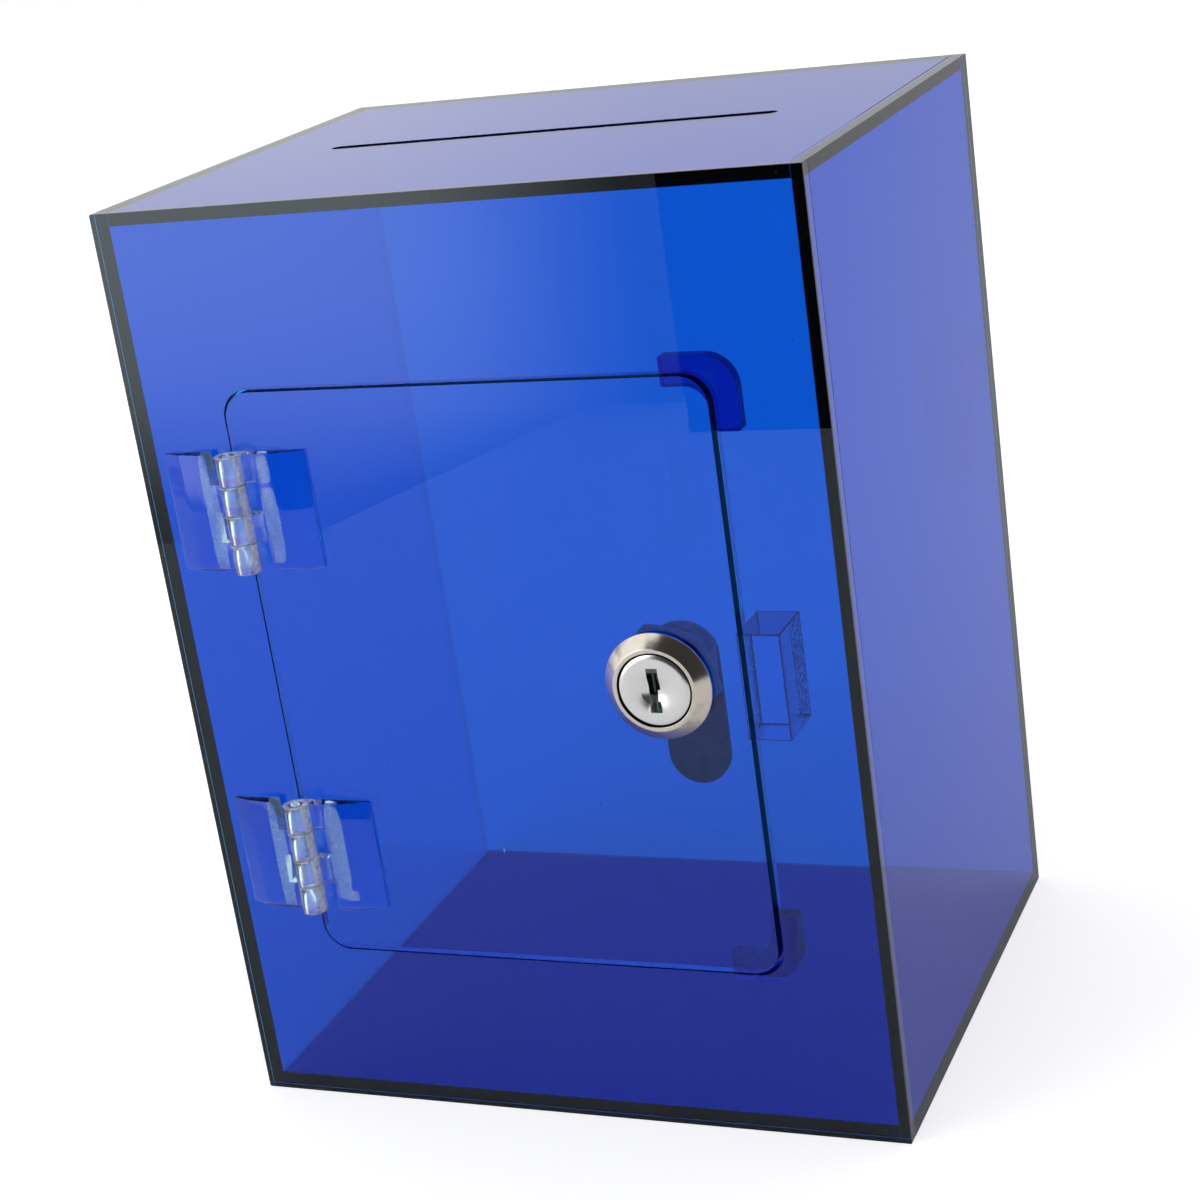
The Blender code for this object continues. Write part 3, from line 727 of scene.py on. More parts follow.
@dataclass(frozen=True)
class TurnedMetal:
    """Plated or bare metal that was turned, pressed or polished about one axis.

    Attributes:
        name: The material's name.
        colour: Its clean colour.
        worn: Its colour where it is dull or dirty.
        roughness: The clean roughness.
        grain: How deep the turning marks are, in metres.
        stain: The share of dull patches.
        centre: A point on the turning axis, which runs along Y.
        grimy: The radii between which painted shade darkens and dulls the recess round the plug.
    """

    name: str
    colour: Colour
    worn: Colour
    roughness: float
    grain: float
    stain: float
    centre: Vector = LOCK_AXIS
    grimy: Span | None = None

    def build(self) -> bpy.types.Material:
        """Makes the material.

        Returns:
            The material.
        """
        material = bpy.data.materials.new(self.name)
        board = ShaderBoard(material)
        here = board.moved(self.centre)
        x, y, z = board.split(here)
        radius = (x * x + z * z) ** 0.5
        angle = z.maths("ARCTAN2", x)
        close = 14.0
        rings = board.noise(board.join(radius * close, y * close, angle * (0.8 * MM)), 2.2 * MM, 3.0)
        grain = board.noise(board.place, 0.18 * MM, 2.0, 0.7)
        patches = board.noise(board.place, 2.6 * MM, 4.0, 0.62)
        patches = patches.ramp(0.75 - self.stain, 0.95 - 0.5 * self.stain)
        pits = board.specks(board.place, 0.9 * MM, 0.09 * MM, 0.25)
        colour = board.colour_mix(patches * 0.55 + grain * 0.16 + pits * 0.4, self.colour, self.worn)
        roughness = patches * 0.12 + rings * 0.08 + self.roughness
        # Painted shade: near black and dull between these radii, in the gap between plug and bezel.
        if self.grimy:
            painted_gap_shade = radius.above(self.grimy[0]) * radius.below(self.grimy[1])
            colour = board.colour_mix(painted_gap_shade, colour, (0.006, 0.006, 0.007))
            roughness = roughness + painted_gap_shade * 0.5
        shader = board.principled(
            {
                "Base Color": colour,
                "Metallic": 1.0,
                "Roughness": roughness,
                "Normal": board.bump(rings * 0.7 + grain * 0.3, 0.35, self.grain),
            }
        )
        board.surface(shader)
        return material


class Form:
    """A mesh in the making, in the part's own frame."""

    def __init__(self) -> None:
        """Starts an empty mesh."""
        self.work = bmesh.new()

    def prism(self, outline: list[Point], span: Span, axis: Axis, centre: Vector = Vector()) -> "Form":
        """Adds an outline drawn out along an axis.

        Args:
            outline: Its corners, in the two directions that follow X, Y, Z without the axis.
            span: Where it starts and ends along the axis.
            axis: The direction that it is drawn out in.
            centre: What is added to every place.

        Returns:
            This form.
        """
        ends = []
        for reach in span:
            corners = []
            for u, v in outline:
                place = [u, v]
                place.insert(axis.value, reach)
                corners.append(self.work.verts.new(Vector(place) + centre))
            ends.append(corners)
            self.work.faces.new(corners)
        near, far = ends
        for last, this in zip(range(-1, len(outline) - 1), range(len(outline))):
            self.work.faces.new((near[last], near[this], far[this], far[last]))
        return self

    def turned(self, profile: list[Point], steps: int, centre: Vector) -> "Form":
        """Adds a profile of (radius, y) points turned about a line along Y.

        Args:
            profile: The points; a bored shape's last point joins its first.
            steps: The number of steps round.
            centre: A point on the axis, whose y is added to the profile's.

        Returns:
            This form.
        """
        rounds = []
        for step in range(steps):
            turn = math.tau * step / steps
            corners = []
            for number, (radius, along) in enumerate(profile):
                if radius == 0.0 and rounds:
                    corners.append(rounds[0][number])
                else:
                    place = Vector((radius * math.cos(turn), along, -radius * math.sin(turn)))
                    corners.append(self.work.verts.new(centre + place))
            rounds.append(corners)
        bands = list(zip(range(len(profile) - 1), range(1, len(profile))))
        if profile[0][0] > 0:
            bands.append((len(profile) - 1, 0))
        for this, following in zip(rounds, rounds[1:] + rounds[:1]):
            for low, high in bands:
                corners = (this[low], this[high], following[high], following[low])
                self.work.faces.new(list(dict.fromkeys(corners)))
        return self

    def mesh(self, name: str) -> bpy.types.Mesh:
        """Closes the work and gives its mesh, faces outwards.

        Args:
            name: The mesh's name.

        Returns:
            The mesh.
        """
        bmesh.ops.remove_doubles(self.work, verts=self.work.verts, dist=0.0005 * MM)
        bmesh.ops.recalc_face_normals(self.work, faces=self.work.faces)
        mesh = bpy.data.meshes.new(name)
        self.work.to_mesh(mesh)
        self.work.free()
        return mesh


class Piece:
    """One visible piece: an object at the origin whose place is in its mesh.

    Args:
        name: The piece's name.
        mesh: Its mesh.
        material: Its finish.
    """

    def __init__(self, name: str, mesh: bpy.types.Mesh, material: bpy.types.Material) -> None:
        """Puts the piece in the scene."""
        self.item = bpy.data.objects.new(name, mesh)
        bpy.context.scene.collection.objects.link(self.item)
        mesh.materials.clear()
        mesh.materials.append(material)

    def settle(self) -> "Piece":
        """Turns the modifiers' result into a plain mesh.

        Returns:
            This piece.
        """
        graph = bpy.context.evaluated_depsgraph_get()
        drawn = self.item.evaluated_get(graph)
        mesh = bpy.data.meshes.new_from_object(drawn, preserve_all_data_layers=True, depsgraph=graph)
        self.item.modifiers.clear()
        self.item.data = mesh
        return self

    def carve(self, cutter: bpy.types.Mesh, cut: Cut = Cut.AWAY) -> "Piece":
        """Cuts the piece with a shape.

        Args:
            cutter: The shape.
            cut: What it does to the piece.

        Returns:
            This piece.
        """
        other = bpy.data.objects.new(cutter.name, cutter)
        bpy.context.scene.collection.objects.link(other)
        boolean = self.item.modifiers.new(cutter.name, "BOOLEAN")
        boolean.operation = cut.value
        boolean.solver = "EXACT"
        boolean.object = other
        self.settle()
        bpy.data.objects.remove(other, do_unlink=True)
        return self

    def soften(self, width: float, segments: int = 2, angle: float = 30.0) -> "Piece":
        """Rounds the piece's edges.

        Args:
            width: The rounding's width.
            segments: Its number of steps.
            angle: How sharp an edge has to be to get one, in degrees.

        Returns:
            This piece.
        """
        bevel = self.item.modifiers.new("softened", "BEVEL")
        bevel.width = width
        bevel.segments = segments
        bevel.limit_method = "ANGLE"
        bevel.angle_limit = math.radians(angle)
        bevel.harden_normals = False
        return self.settle()

    def smooth(self, angle: float = 28.0) -> "Piece":
        """Shades the piece smooth, with its edges kept sharp.

        Args:
            angle: The angle at which an edge is sharp, in degrees.

        Returns:
            This piece.
        """
        self.item.data.shade_smooth()
        self.item.data.set_sharp_from_angle(angle=math.radians(angle))
        return self

    def fit(self, body: Body, slot: Slot, *nodes: str) -> "Piece":
        """Lets the piece ride on a body and stand for solids.

        Args:
            body: The body that carries it.
            slot: The record's slot that its finish belongs to; it is not used.
            nodes: The solids that it stands for.

        Returns:
            This piece.
        """
        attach(self.item, body.value)
        if nodes:
            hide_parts(*nodes)
        LOG.info("%s rides on %s: %d faces", self.item.name, body.value, len(self.item.data.polygons))
        return self


def arc(middle: Point, radius: float, start: float, end: float, steps: int) -> list[Point]:
    """Gives points on an arc, both ends included."""
    turns = [start + (end - start) * step / steps for step in range(steps + 1)]
    return [(middle[0] + radius * math.cos(turn), middle[1] + radius * math.sin(turn)) for turn in turns]


def rectangle(low: Point, high: Point) -> list[Point]:
    """Gives a rectangle's corners in order."""
    return [low, (high[0], low[1]), high, (low[0], high[1])]


def ring(radius: float, steps: int) -> list[Point]:
    """Gives a circle about the origin."""
    return arc((0.0, 0.0), radius, 0.0, math.tau * (steps - 1) / steps, steps - 1)


def cross(arm: float, half: float) -> list[Point]:
    """Gives a cross with four like arms.

    Args:
        arm: How far each arm reaches from the middle.
        half: Half an arm's width.

    Returns:
        Its corners.
    """
    points = []
    for turn in range(4):
        along = (math.cos(turn * QUARTER), math.sin(turn * QUARTER))
        for u, v in ((arm, -half), (arm, half), (half, half)):
            points.append((u * along[0] - v * along[1], u * along[1] + v * along[0]))
    return points


class ShapeTree:
    """A Geometry Nodes tree with named inputs, run once on a spare object.

    Args:
        name: The tree's name.
        sizes: The named inputs with their values; whole numbers become integer inputs.
    """

    def __init__(self, name: str, sizes: dict[str, float | int]) -> None:
        """Makes the tree's inputs and its ends."""
        self.name = name
        self.sizes = sizes
        self.tree = bpy.data.node_groups.new(name, "GeometryNodeTree")
        self.keys = {}
        ends = self.tree.interface
        for label, value in (*sizes.items(), ("Material", None)):
            kind = {int: "NodeSocketInt", float: "NodeSocketFloat"}.get(type(value), "NodeSocketMaterial")
            self.keys[label] = ends.new_socket(label, in_out="INPUT", socket_type=kind).identifier
        ends.new_socket("Geometry", in_out="OUTPUT", socket_type="NodeSocketGeometry")
        self.board = Board(self.tree)
        self.source = self.board.add("NodeGroupInput")

    def size(self, label: str) -> Wire:
        """Gives a named input."""
        return self.board.wire(self.source, label)

    def run(self, shape: Wire, material: bpy.types.Material) -> bpy.types.Mesh:
        """Ends the tree, runs it and gives the plain mesh.

        Args:
            shape: The geometry that the tree made.
            material: The finish to set on it.

        Returns:
            The mesh.
        """
        real = self.board.wire(self.board.add("GeometryNodeRealizeInstances", None, {0: shape}))
        inputs = {"Geometry": real, "Material": self.size("Material")}
        dressed = self.board.wire(self.board.add("GeometryNodeSetMaterial", None, inputs))
        self.board.add("NodeGroupOutput", None, {0: dressed})
        carrier = bpy.data.objects.new(self.name, bpy.data.meshes.new(self.name))
        bpy.context.scene.collection.objects.link(carrier)
        growth = carrier.modifiers.new(self.name, "NODES")
        growth.node_group = self.tree
        for label, value in self.sizes.items():
            growth[self.keys[label]] = value
        growth[self.keys["Material"]] = material
        graph = bpy.context.evaluated_depsgraph_get()
        mesh = bpy.data.meshes.new_from_object(carrier.evaluated_get(graph), depsgraph=graph)
        bpy.data.objects.remove(carrier, do_unlink=True)
        return mesh


@dataclass(frozen=True)
class SheetCut:
    """How a sheet is cut: its outline and the one opening in it, on a plane.

    Attributes:
        width: Its width.
        height: Its height.
        radius: The radius of its corners.
        thickness: Its thickness.
        opening_width: The opening's width.
        opening_height: The opening's height.
        opening_radius: The radius of the opening's corners.
        opening_x: How far the opening lies to the right of the sheet's middle.
        opening_y: How far it lies above it.
    """

    width: float
    height: float
    radius: float
    thickness: float
    opening_width: float
    opening_height: float
    opening_radius: float
    opening_x: float = 0.0
    opening_y: float = 0.0

    def mesh(self, name: str, material: bpy.types.Material, steps: int = 20) -> bpy.types.Mesh:
        """Draws the sheet on the XY plane, its middle on the origin and its thickness upwards.

        Args:
            name: The mesh's name.
            material: Its finish.
            steps: The number of steps in each corner.

        Returns:
            The closed mesh.
        """
        tree = ShapeTree(
            name,
            {
                "Width": self.width,
                "Height": self.height,
                "Corner Radius": self.radius,
                "Thickness": self.thickness,
                "Opening Width": self.opening_width,
                "Opening Height": self.opening_height,
                "Opening Radius": self.opening_radius,
                "Opening X": self.opening_x,
                "Opening Y": self.opening_y,
                "Corner Steps": steps,
            },
        )
        board = tree.board
        loops = []
        for kind in ("", "Opening "):
            sides = {"Width": tree.size(kind + "Width"), "Height": tree.size(kind + "Height")}
            quad = board.wire(board.add("GeometryNodeCurvePrimitiveQuadrilateral", None, sides))
            radius = tree.size(kind + "Radius" if kind else "Corner Radius")
            inputs = {"Curve": quad, "Count": tree.size("Corner Steps"), "Radius": radius}
            inputs["Limit Radius"] = True
            loops.append(board.wire(board.add("GeometryNodeFilletCurve", {"mode": "POLY"}, inputs)))
        aside = board.join(tree.size("Opening X"), tree.size("Opening Y"), 0.0)
        inputs = {"Geometry": loops[1], "Translation": aside}
        loops[1] = board.wire(board.add("GeometryNodeTransform", None, inputs))
        both = board.add("GeometryNodeJoinGeometry")
        for loop in reversed(loops):
            board.tree.links.new(loop.socket, both.inputs[0])
        flat = board.wire(board.add("GeometryNodeFillCurve", {"mode": "TRIANGLES"}, {0: board.wire(both)}))
        up = board.join(0.0, 0.0, 1.0)
        inputs = {"Mesh": flat, "Offset": up, "Offset Scale": tree.size("Thickness"), "Individual": False}
        drawn = board.wire(board.add("GeometryNodeExtrudeMesh", {"mode": "FACES"}, inputs))
        base = board.wire(board.add("GeometryNodeFlipFaces", None, {0: flat}))
        closed = board.add("GeometryNodeJoinGeometry")
        for part in (drawn, base):
            board.tree.links.new(part.socket, closed.inputs[0])
        inputs = {"Geometry": board.wire(closed), "Distance": 0.001 * MM}
        whole = board.wire(board.add("GeometryNodeMergeByDistance", None, inputs))
        return tree.run(whole, material)


def upright(mesh: bpy.types.Mesh, place: Vector) -> bpy.types.Mesh:
    """Stands a flat sheet up, so that its thickness runs towards the front, and puts it in place."""
    mesh.transform(Matrix.Translation(place) @ Matrix.Rotation(QUARTER, 4, "X"))
    return mesh


def slab(name: str, low: Vector, high: Vector) -> bpy.types.Mesh:
    """Makes a plain block between two corners."""
    return Form().prism(rectangle((low.x, low.y), (high.x, high.y)), (low.z, high.z), Axis.Z).mesh(name)


def about(place: float, reach: float = SKIN) -> Span:
    """Gives the thin span on both sides of a cemented face."""
    return place - reach, place + reach


@dataclass
class Carcass:
    """The six cemented sheets of the box.

    Attributes:
        width: The box's width.
        depth: Its depth.
        height: Its height.
        sheet: The sheets' thickness.
        film: The cement's thickness between two sheets.
        edge: The radius of the polished edges.
        corner: The radius of the front sheet's and the top sheet's corners.
        opening: The door opening's width and height.
        opening_radius: The radius of its corners.
        opening_drop: How far its middle lies under the sheet's.
        slot: The coin slot's length and width.
        slot_radius: The radius of its ends, just under half its width.
    """

    width: float = WIDTH
    depth: float = DEPTH
    height: float = HEIGHT
    sheet: float = SHEET
    film: float = FILM
    edge: float = 0.12 * MM
    corner: float = 0.3 * MM
    opening: Point = (105.5 * MM, 126 * MM)
    opening_radius: float = 6 * MM
    opening_drop: float = 0.3 * MM
    slot: Point = (102 * MM, 3.5 * MM)
    slot_radius: float = 1.73 * MM

    def jambs(self) -> tuple[float, float, float]:
        """Gives where the opening's right side, its foot and its head are."""
        middle, half = self.height / 2 - self.opening_drop, self.opening[1] / 2
        return self.opening[0] / 2, middle - half, middle + half

    def seams(self) -> tuple[Cement, ...]:
        """Gives the blocks of space where the sheets' edges are cemented.

        Returns:
            The cement.
        """
        half, high = self.width / 2, self.height
        inner, near = half - self.sheet, self.depth / 2 - self.sheet
        levels = [(low + LAP, low + self.sheet - LAP) for low in (0.0, high - self.sheet)]
        blocks = []
        for side in (-1, 1):
            wide = sorted((side * (inner + LAP), side * (half - LAP)))
            blocks += [(wide, about(end * near), (LAP, high - LAP)) for end in (-1, 1)]
            blocks += [(about(side * inner), (LAP - near, near - LAP), level) for level in levels]
        for end in (-1, 1):
            blocks += [((LAP - inner, inner - LAP), about(end * near), level) for level in levels]
        return tuple(Cement(*zip(*spans)) for spans in blocks)

    def build(self, clean: Acrylic, front: Acrylic, cover: Acrylic) -> None:
        """Makes the sheets.

        Args:
            clean: The finish of the plain sheets.
            front: The finish of the front sheet, wetted under the hinges and stops too.
            cover: The finish of the top sheet, whose slot is sawn.
        """
        half, deep, high = self.width / 2, self.depth / 2, self.height
        inner = half - self.sheet
        near = deep - self.sheet - self.film
        tint, face = clean.build(), front.build()
        hole = (*self.opening, self.opening_radius, 0.0, -self.opening_drop)
        cut = SheetCut(self.width, self.height, self.corner, self.sheet, *hole)
        mesh = upright(cut.mesh("front_cut", face), Vector((0, -deep + self.sheet, high / 2)))
        self.finish("front_sheet", mesh, face, "front_panel")
        sheets = {
            "back": (Vector((-half, near + self.film, 0)), Vector((half, deep, high))),
            "left": (Vector((-half, -near, 0)), Vector((-inner, near, high))),
            "right": (Vector((inner, -near, 0)), Vector((half, near, high))),
            "bottom": (Vector((self.film - inner, -near, 0)), Vector((inner - self.film, near, self.sheet))),
        }
        for side, (low, top) in sheets.items():
            self.finish(side + "_sheet", slab(side, low, top), tint, side + "_panel")
        slot = (*self.slot, self.slot_radius)
        lid = SheetCut(2 * (inner - self.film), 2 * near, self.corner, self.sheet, *slot)
        slotted = cover.build()
        mesh = lid.mesh("top_cut", slotted)
        mesh.transform(Matrix.Translation((0, 0, high - self.sheet)))
        self.finish("top_sheet", mesh, slotted, "top_panel")

    def finish(self, name: str, mesh: bpy.types.Mesh, material: bpy.types.Material, node: str) -> None:
        """Rounds a sheet's edges and puts it on the box."""
        Piece(name, mesh, material).soften(self.edge, 3).fit(Body.BOX, Slot.BLUE, node)


@dataclass
class Door:
    """The inset door with its lock hole.

    Attributes:
        width: Its width.
        height: Its height.
        radius: The radius of its corners.
        middle: Its middle across and upwards.
        sheet: Its thickness.
        edge: The radius of its polished edges.
        hole: The lock hole's diameter.
        hole_radius: The radius of its corners, just under half of that.
        lock: The lock hole's middle across and upwards.
    """

    width: float = 104.0 * MM
    height: float = 125.1 * MM
    radius: float = 5.7 * MM
    middle: Point = (-0.45 * MM, 99.55 * MM)
    sheet: float = SHEET
    edge: float = 0.15 * MM
    hole: float = 16.6 * MM
    hole_radius: float = 8.29 * MM
    lock: Point = (LOCK_X, LOCK_Z)

    def build(self, finish: Acrylic) -> None:
        """Makes the door sheet.

        Args:
            finish: Its finish.
        """
        material = finish.build()
        middle = Vector((self.middle[0], FRONT + self.sheet, self.middle[1]))
        aside = tuple(lock - door for lock, door in zip(self.lock, self.middle))
        hole = (self.hole, self.hole, self.hole_radius, *aside)
        cut = SheetCut(self.width, self.height, self.radius, self.sheet, *hole)
        mesh = upright(cut.mesh("door_cut", material, 24), middle)
        piece = Piece("door_sheet", mesh, material).soften(self.edge, 3)
        piece.fit(Body.DOOR, Slot.BLUE, "door_panel")


@dataclass
class CornerStop:
    """The bent stop behind one right-hand corner of the opening.

    Attributes:
        name: The piece's name.
        node: The solid that it stands for.
        up: 1 for the upper corner and -1 for the lower.
        corner: Where the middle lines of its two legs cross, across and upwards.
        edges: The opening's right side, and its top or bottom.
        width: The strip's width.
        leg: How far each leg runs from the corner.
        tip: The radius of the legs' corners.
        bends: The radius of the outer bend and of the inner one.
        thickness: The strip's thickness.
        edge: The radius of its edges.
    """

    name: str
    node: str
    up: int
    corner: Point
    edges: Point
    width: float = 6 * MM
    leg: float = 12 * MM
    tip: float = 0.5 * MM
    bends: Point = (6.8 * MM, 4.5 * MM)
    thickness: float = 3.25 * MM
    edge: float = 0.2 * MM

    def outline(self) -> list[Point]:
        """Gives the bent strip's outline about its corner.

        Returns:
            Its points.
        """
        half, tip = self.width / 2, self.tip
        outer, inner = self.bends
        points = arc((-self.leg + tip, half - tip), tip, math.pi, QUARTER, 6)
        points += arc((half - outer, half - outer), outer, QUARTER, 0, 24)
        points += arc((half - tip, -self.leg + tip), tip, 0, -QUARTER, 6)
        points += arc((tip - half, -self.leg + tip), tip, -QUARTER, -math.pi, 6)
        points += arc((-half - inner, -half - inner), inner, 0, QUARTER, 16)
        points += arc((-self.leg + tip, tip - half), tip, -QUARTER, -math.pi, 6)
        return [(u, self.up * v) for u, v in points]

    def pads(self) -> tuple[Cement, ...]:
        """Gives the cement between the strip and the front sheet.

        Returns:
            The cement beside the opening, and that above or below it.
        """
        x, z = self.corner
        half = self.width / 2
        right, end = x + half - LAP, z + self.up * (half - LAP)
        tall = sorted((end, z - self.up * (self.leg - LAP)))
        flat = sorted((self.edges[1], end))
        shift = half - self.bends[0]
        bend = (x + shift, z + self.up * shift, self.bends[0] - LAP, self.up)
        near, far = about(BEHIND_FRONT)
        side = Cement((self.edges[0], near, tall[0]), (right, far, tall[1]), bend=bend)
        return side, Cement((x - self.leg + LAP, near, flat[0]), (right, far, flat[1]), bend=bend)

    def build(self, material: bpy.types.Material) -> None:
        """Makes the stop.

        Args:
            material: Its finish.
        """
        corner = Vector((self.corner[0], 0, self.corner[1]))
        near = BEHIND_FRONT + FILM
        mesh = Form().prism(self.outline(), (near, near + self.thickness), Axis.Y, corner).mesh(self.name)
        Piece(self.name, mesh, material).soften(self.edge).fit(Body.BOX, Slot.BLUE, self.node)


@dataclass
class CatchBlock:
    """The sawn block behind the front sheet, which the cam passes behind.

    Attributes:
        low: Its lowest corner.
        high: Its highest corner.
        edge: The radius of its edges.
        shy: How far the cement stays off its edges.
    """

    low: Vector = Vector((50.3, -56.98, 87.7)) * MM
    high: Vector = Vector((59.3, -44.0, 109.9)) * MM
    edge: float = 0.25 * MM
    shy: float = 0.1 * MM

    def pad(self, jamb: float) -> Cement:
        """Gives the cement between the block and the front sheet.

        Args:
            jamb: Where the opening's right side is, beside which the cement starts.

        Returns:
            The cement.
        """
        near, far = about(BEHIND_FRONT)
        low, high = self.low.z + self.shy, self.high.z - self.shy
        return Cement((jamb, near, low), (self.high.x - self.shy, far, high))

    def build(self, finish: Acrylic) -> None:
        """Makes the block.

        Args:
            finish: Its finish.
        """
        mesh = slab("catch", self.low, self.high)
        piece = Piece("catch_for_cam", mesh, finish.build()).soften(self.edge)
        piece.fit(Body.BOX, Slot.CLEAR, "catch_block")


@dataclass
class Hinge:
    """A moulded butt hinge of clear acrylic.

    Attributes:
        name: What its pieces' names start with.
        middle: The middle of its axis.
        door_gaps: The spots that the cement under the door's leaf missed, from the bare band's middle.
        frame_gaps: Those under the frame's leaf.
        height: The leaves' height.
        reach: How far a leaf reaches from the axis.
        inset: Where the leaf's full-height part begins.
        ridge: How wide the thick part beside the knuckles is.
        thickness: The thick part's thickness.
        edge: The outer edge's thickness.
        knuckle: The knuckles' diameter.
        gap: The gap between two knuckles.
        clearance: How far the knuckles stand off the sheets.
        count: How many knuckles there are.
        pin: The pin's diameter.
        play: The gap round the pin.
        film: The gap under the leaves.
        bulge: How far the door leaf's back is rounded out.
        knee: How high the ridge between the two flats of the frame leaf's back stands.
        rounding: The radius of the moulded edges.
        wet_from: How far from the axis the cement starts.
        shy: How far it stays off the leaf's edges.
        skin: How far it wets both faces.
        band: How far from the axis the bare band's middle lies.
    """

    name: str
    middle: Vector
    door_gaps: tuple[AirGap, ...]
    frame_gaps: tuple[AirGap, ...] = (AirGap(-0.3 * MM, 0.0, 1.6 * MM, 14 * MM),)
    height: float = 25 * MM
    reach: float = 16.5 * MM
    inset: float = 5.5 * MM
    ridge: float = 2.5 * MM
    thickness: float = 2.3 * MM
    edge: float = 0.6 * MM
    knuckle: float = 5.586 * MM
    gap: float = 0.3 * MM
    clearance: float = 0.3 * MM
    count: int = 4
    pin: float = 3 * MM
    play: float = 0.15 * MM
    film: float = FILM
    bulge: float = 0.22 * MM
    knee: float = 0.38 * MM
    rounding: float = 0.18 * MM
    wet_from: float = 4.6 * MM
    shy: float = 0.2 * MM
    skin: float = 0.09 * MM
    band: float = 6.6 * MM

    def outline(self, leaf: Leaf) -> list[Point]:
        """Gives a leaf's cross-section about the axis.

        Args:
            leaf: Which leaf.

        Returns:
            Its points.
        """
        radius = self.knuckle / 2
        base = radius + self.clearance - self.film
        crest = self.thickness - radius
        start, end = (self.reach, self.edge - base), (self.inset + self.ridge, crest)
        points = [(self.reach, -base)]
        steps = 12
        for step in range(steps + 1):
            share = step / steps
            if leaf is Leaf.DOOR:
                rise = 4 * self.bulge * share * (1 - share)
            else:
                rise = 2 * self.knee * min(share, 1 - share)
            u, v = (low + (high - low) * share for low, high in zip(start, end))
            points.append((u, v + rise))
        # The knuckle runs from the leaf's back round to its underside, where it meets the base.
        points += arc((0, 0), radius, math.asin(crest / radius), 3 * QUARTER - 0.35, 40)
        points.append((0.25 * radius, -base))
        return [(leaf.value * u, -v) for u, v in points]

    def wing(self, leaf: Leaf, material: bpy.types.Material) -> Piece:
        """Makes one leaf with its knuckles and bore.

        Args:
            leaf: Which leaf.
            material: Its finish.

        Returns:
            The leaf's piece.
        """
        side, half = leaf.value, self.height / 2
        title = f"{self.name}_{leaf.name.lower()}_wing"
        mesh = Form().prism(self.outline(leaf), (-half, half), Axis.Z, self.middle).mesh(title)
        piece = Piece(title, mesh, material)
        room = Form()
        pitch = self.height / self.count
        reach = self.knuckle / 2 + PAST
        near, far = sorted((side * self.inset, -side * reach))
        for number in range(1 if leaf is Leaf.DOOR else 0, self.count, 2):
            high = half - number * pitch + self.gap / 2 + (PAST if number == 0 else 0)
            low = half - (number + 1) * pitch - self.gap / 2 - (PAST if number == self.count - 1 else 0)
            room.prism(rectangle((near, -reach), (far, reach)), (low, high), Axis.Z, self.middle)
        piece.carve(room.mesh(title + "_room"))
        along = (-half - PAST, half + PAST)
        bore = Form().prism(ring(self.pin / 2 + self.play, 40), along, Axis.Z, self.middle)
        piece.carve(bore.mesh(title + "_bore"))
        return piece.soften(self.rounding, 2, 35.0).smooth(24.0)

    def pad(self, leaf: Leaf) -> Cement:
        """Gives the cement under one leaf, with the spots that it missed.

        Args:
            leaf: Which leaf.

        Returns:
            The cement.
        """
        side, middle, half = leaf.value, self.middle, self.height / 2
        across = sorted((middle.x + side * self.wet_from, middle.x + side * (self.reach - self.shy)))
        along = (middle.z - half + self.shy, middle.z + half - self.shy)
        missed = self.door_gaps if leaf is Leaf.DOOR else self.frame_gaps
        gaps = tuple(gap.shifted(middle.x + side * self.band, middle.z) for gap in missed)
        return Cement(*zip(across, about(FRONT, self.skin), along), gaps)

    def build(self, frame_finish: Acrylic, door_finish: Acrylic, pin_finish: Acrylic) -> None:
        """Makes both leaves and the pin.

        Args:
            frame_finish: The frame leaf's finish.
            door_finish: The door leaf's finish.
            pin_finish: The pin's finish.
        """
        solid = self.name.replace("_clear", "")
        self.wing(Leaf.FRAME, frame_finish.build()).fit(Body.BOX, Slot.CLEAR, solid + "_frame_leaf")
        self.wing(Leaf.DOOR, door_finish.build()).fit(Body.DOOR, Slot.CLEAR, solid + "_door_leaf")
        half = self.height / 2
        mesh = Form().prism(ring(self.pin / 2, 40), (-half, half), Axis.Z, self.middle).mesh("pin")
        rod = Piece(self.name + "_rod", mesh, pin_finish.build()).soften(0.25 * MM, 2, 35.0)
        rod.fit(Body.BOX, Slot.CLEAR, solid + "_pin")


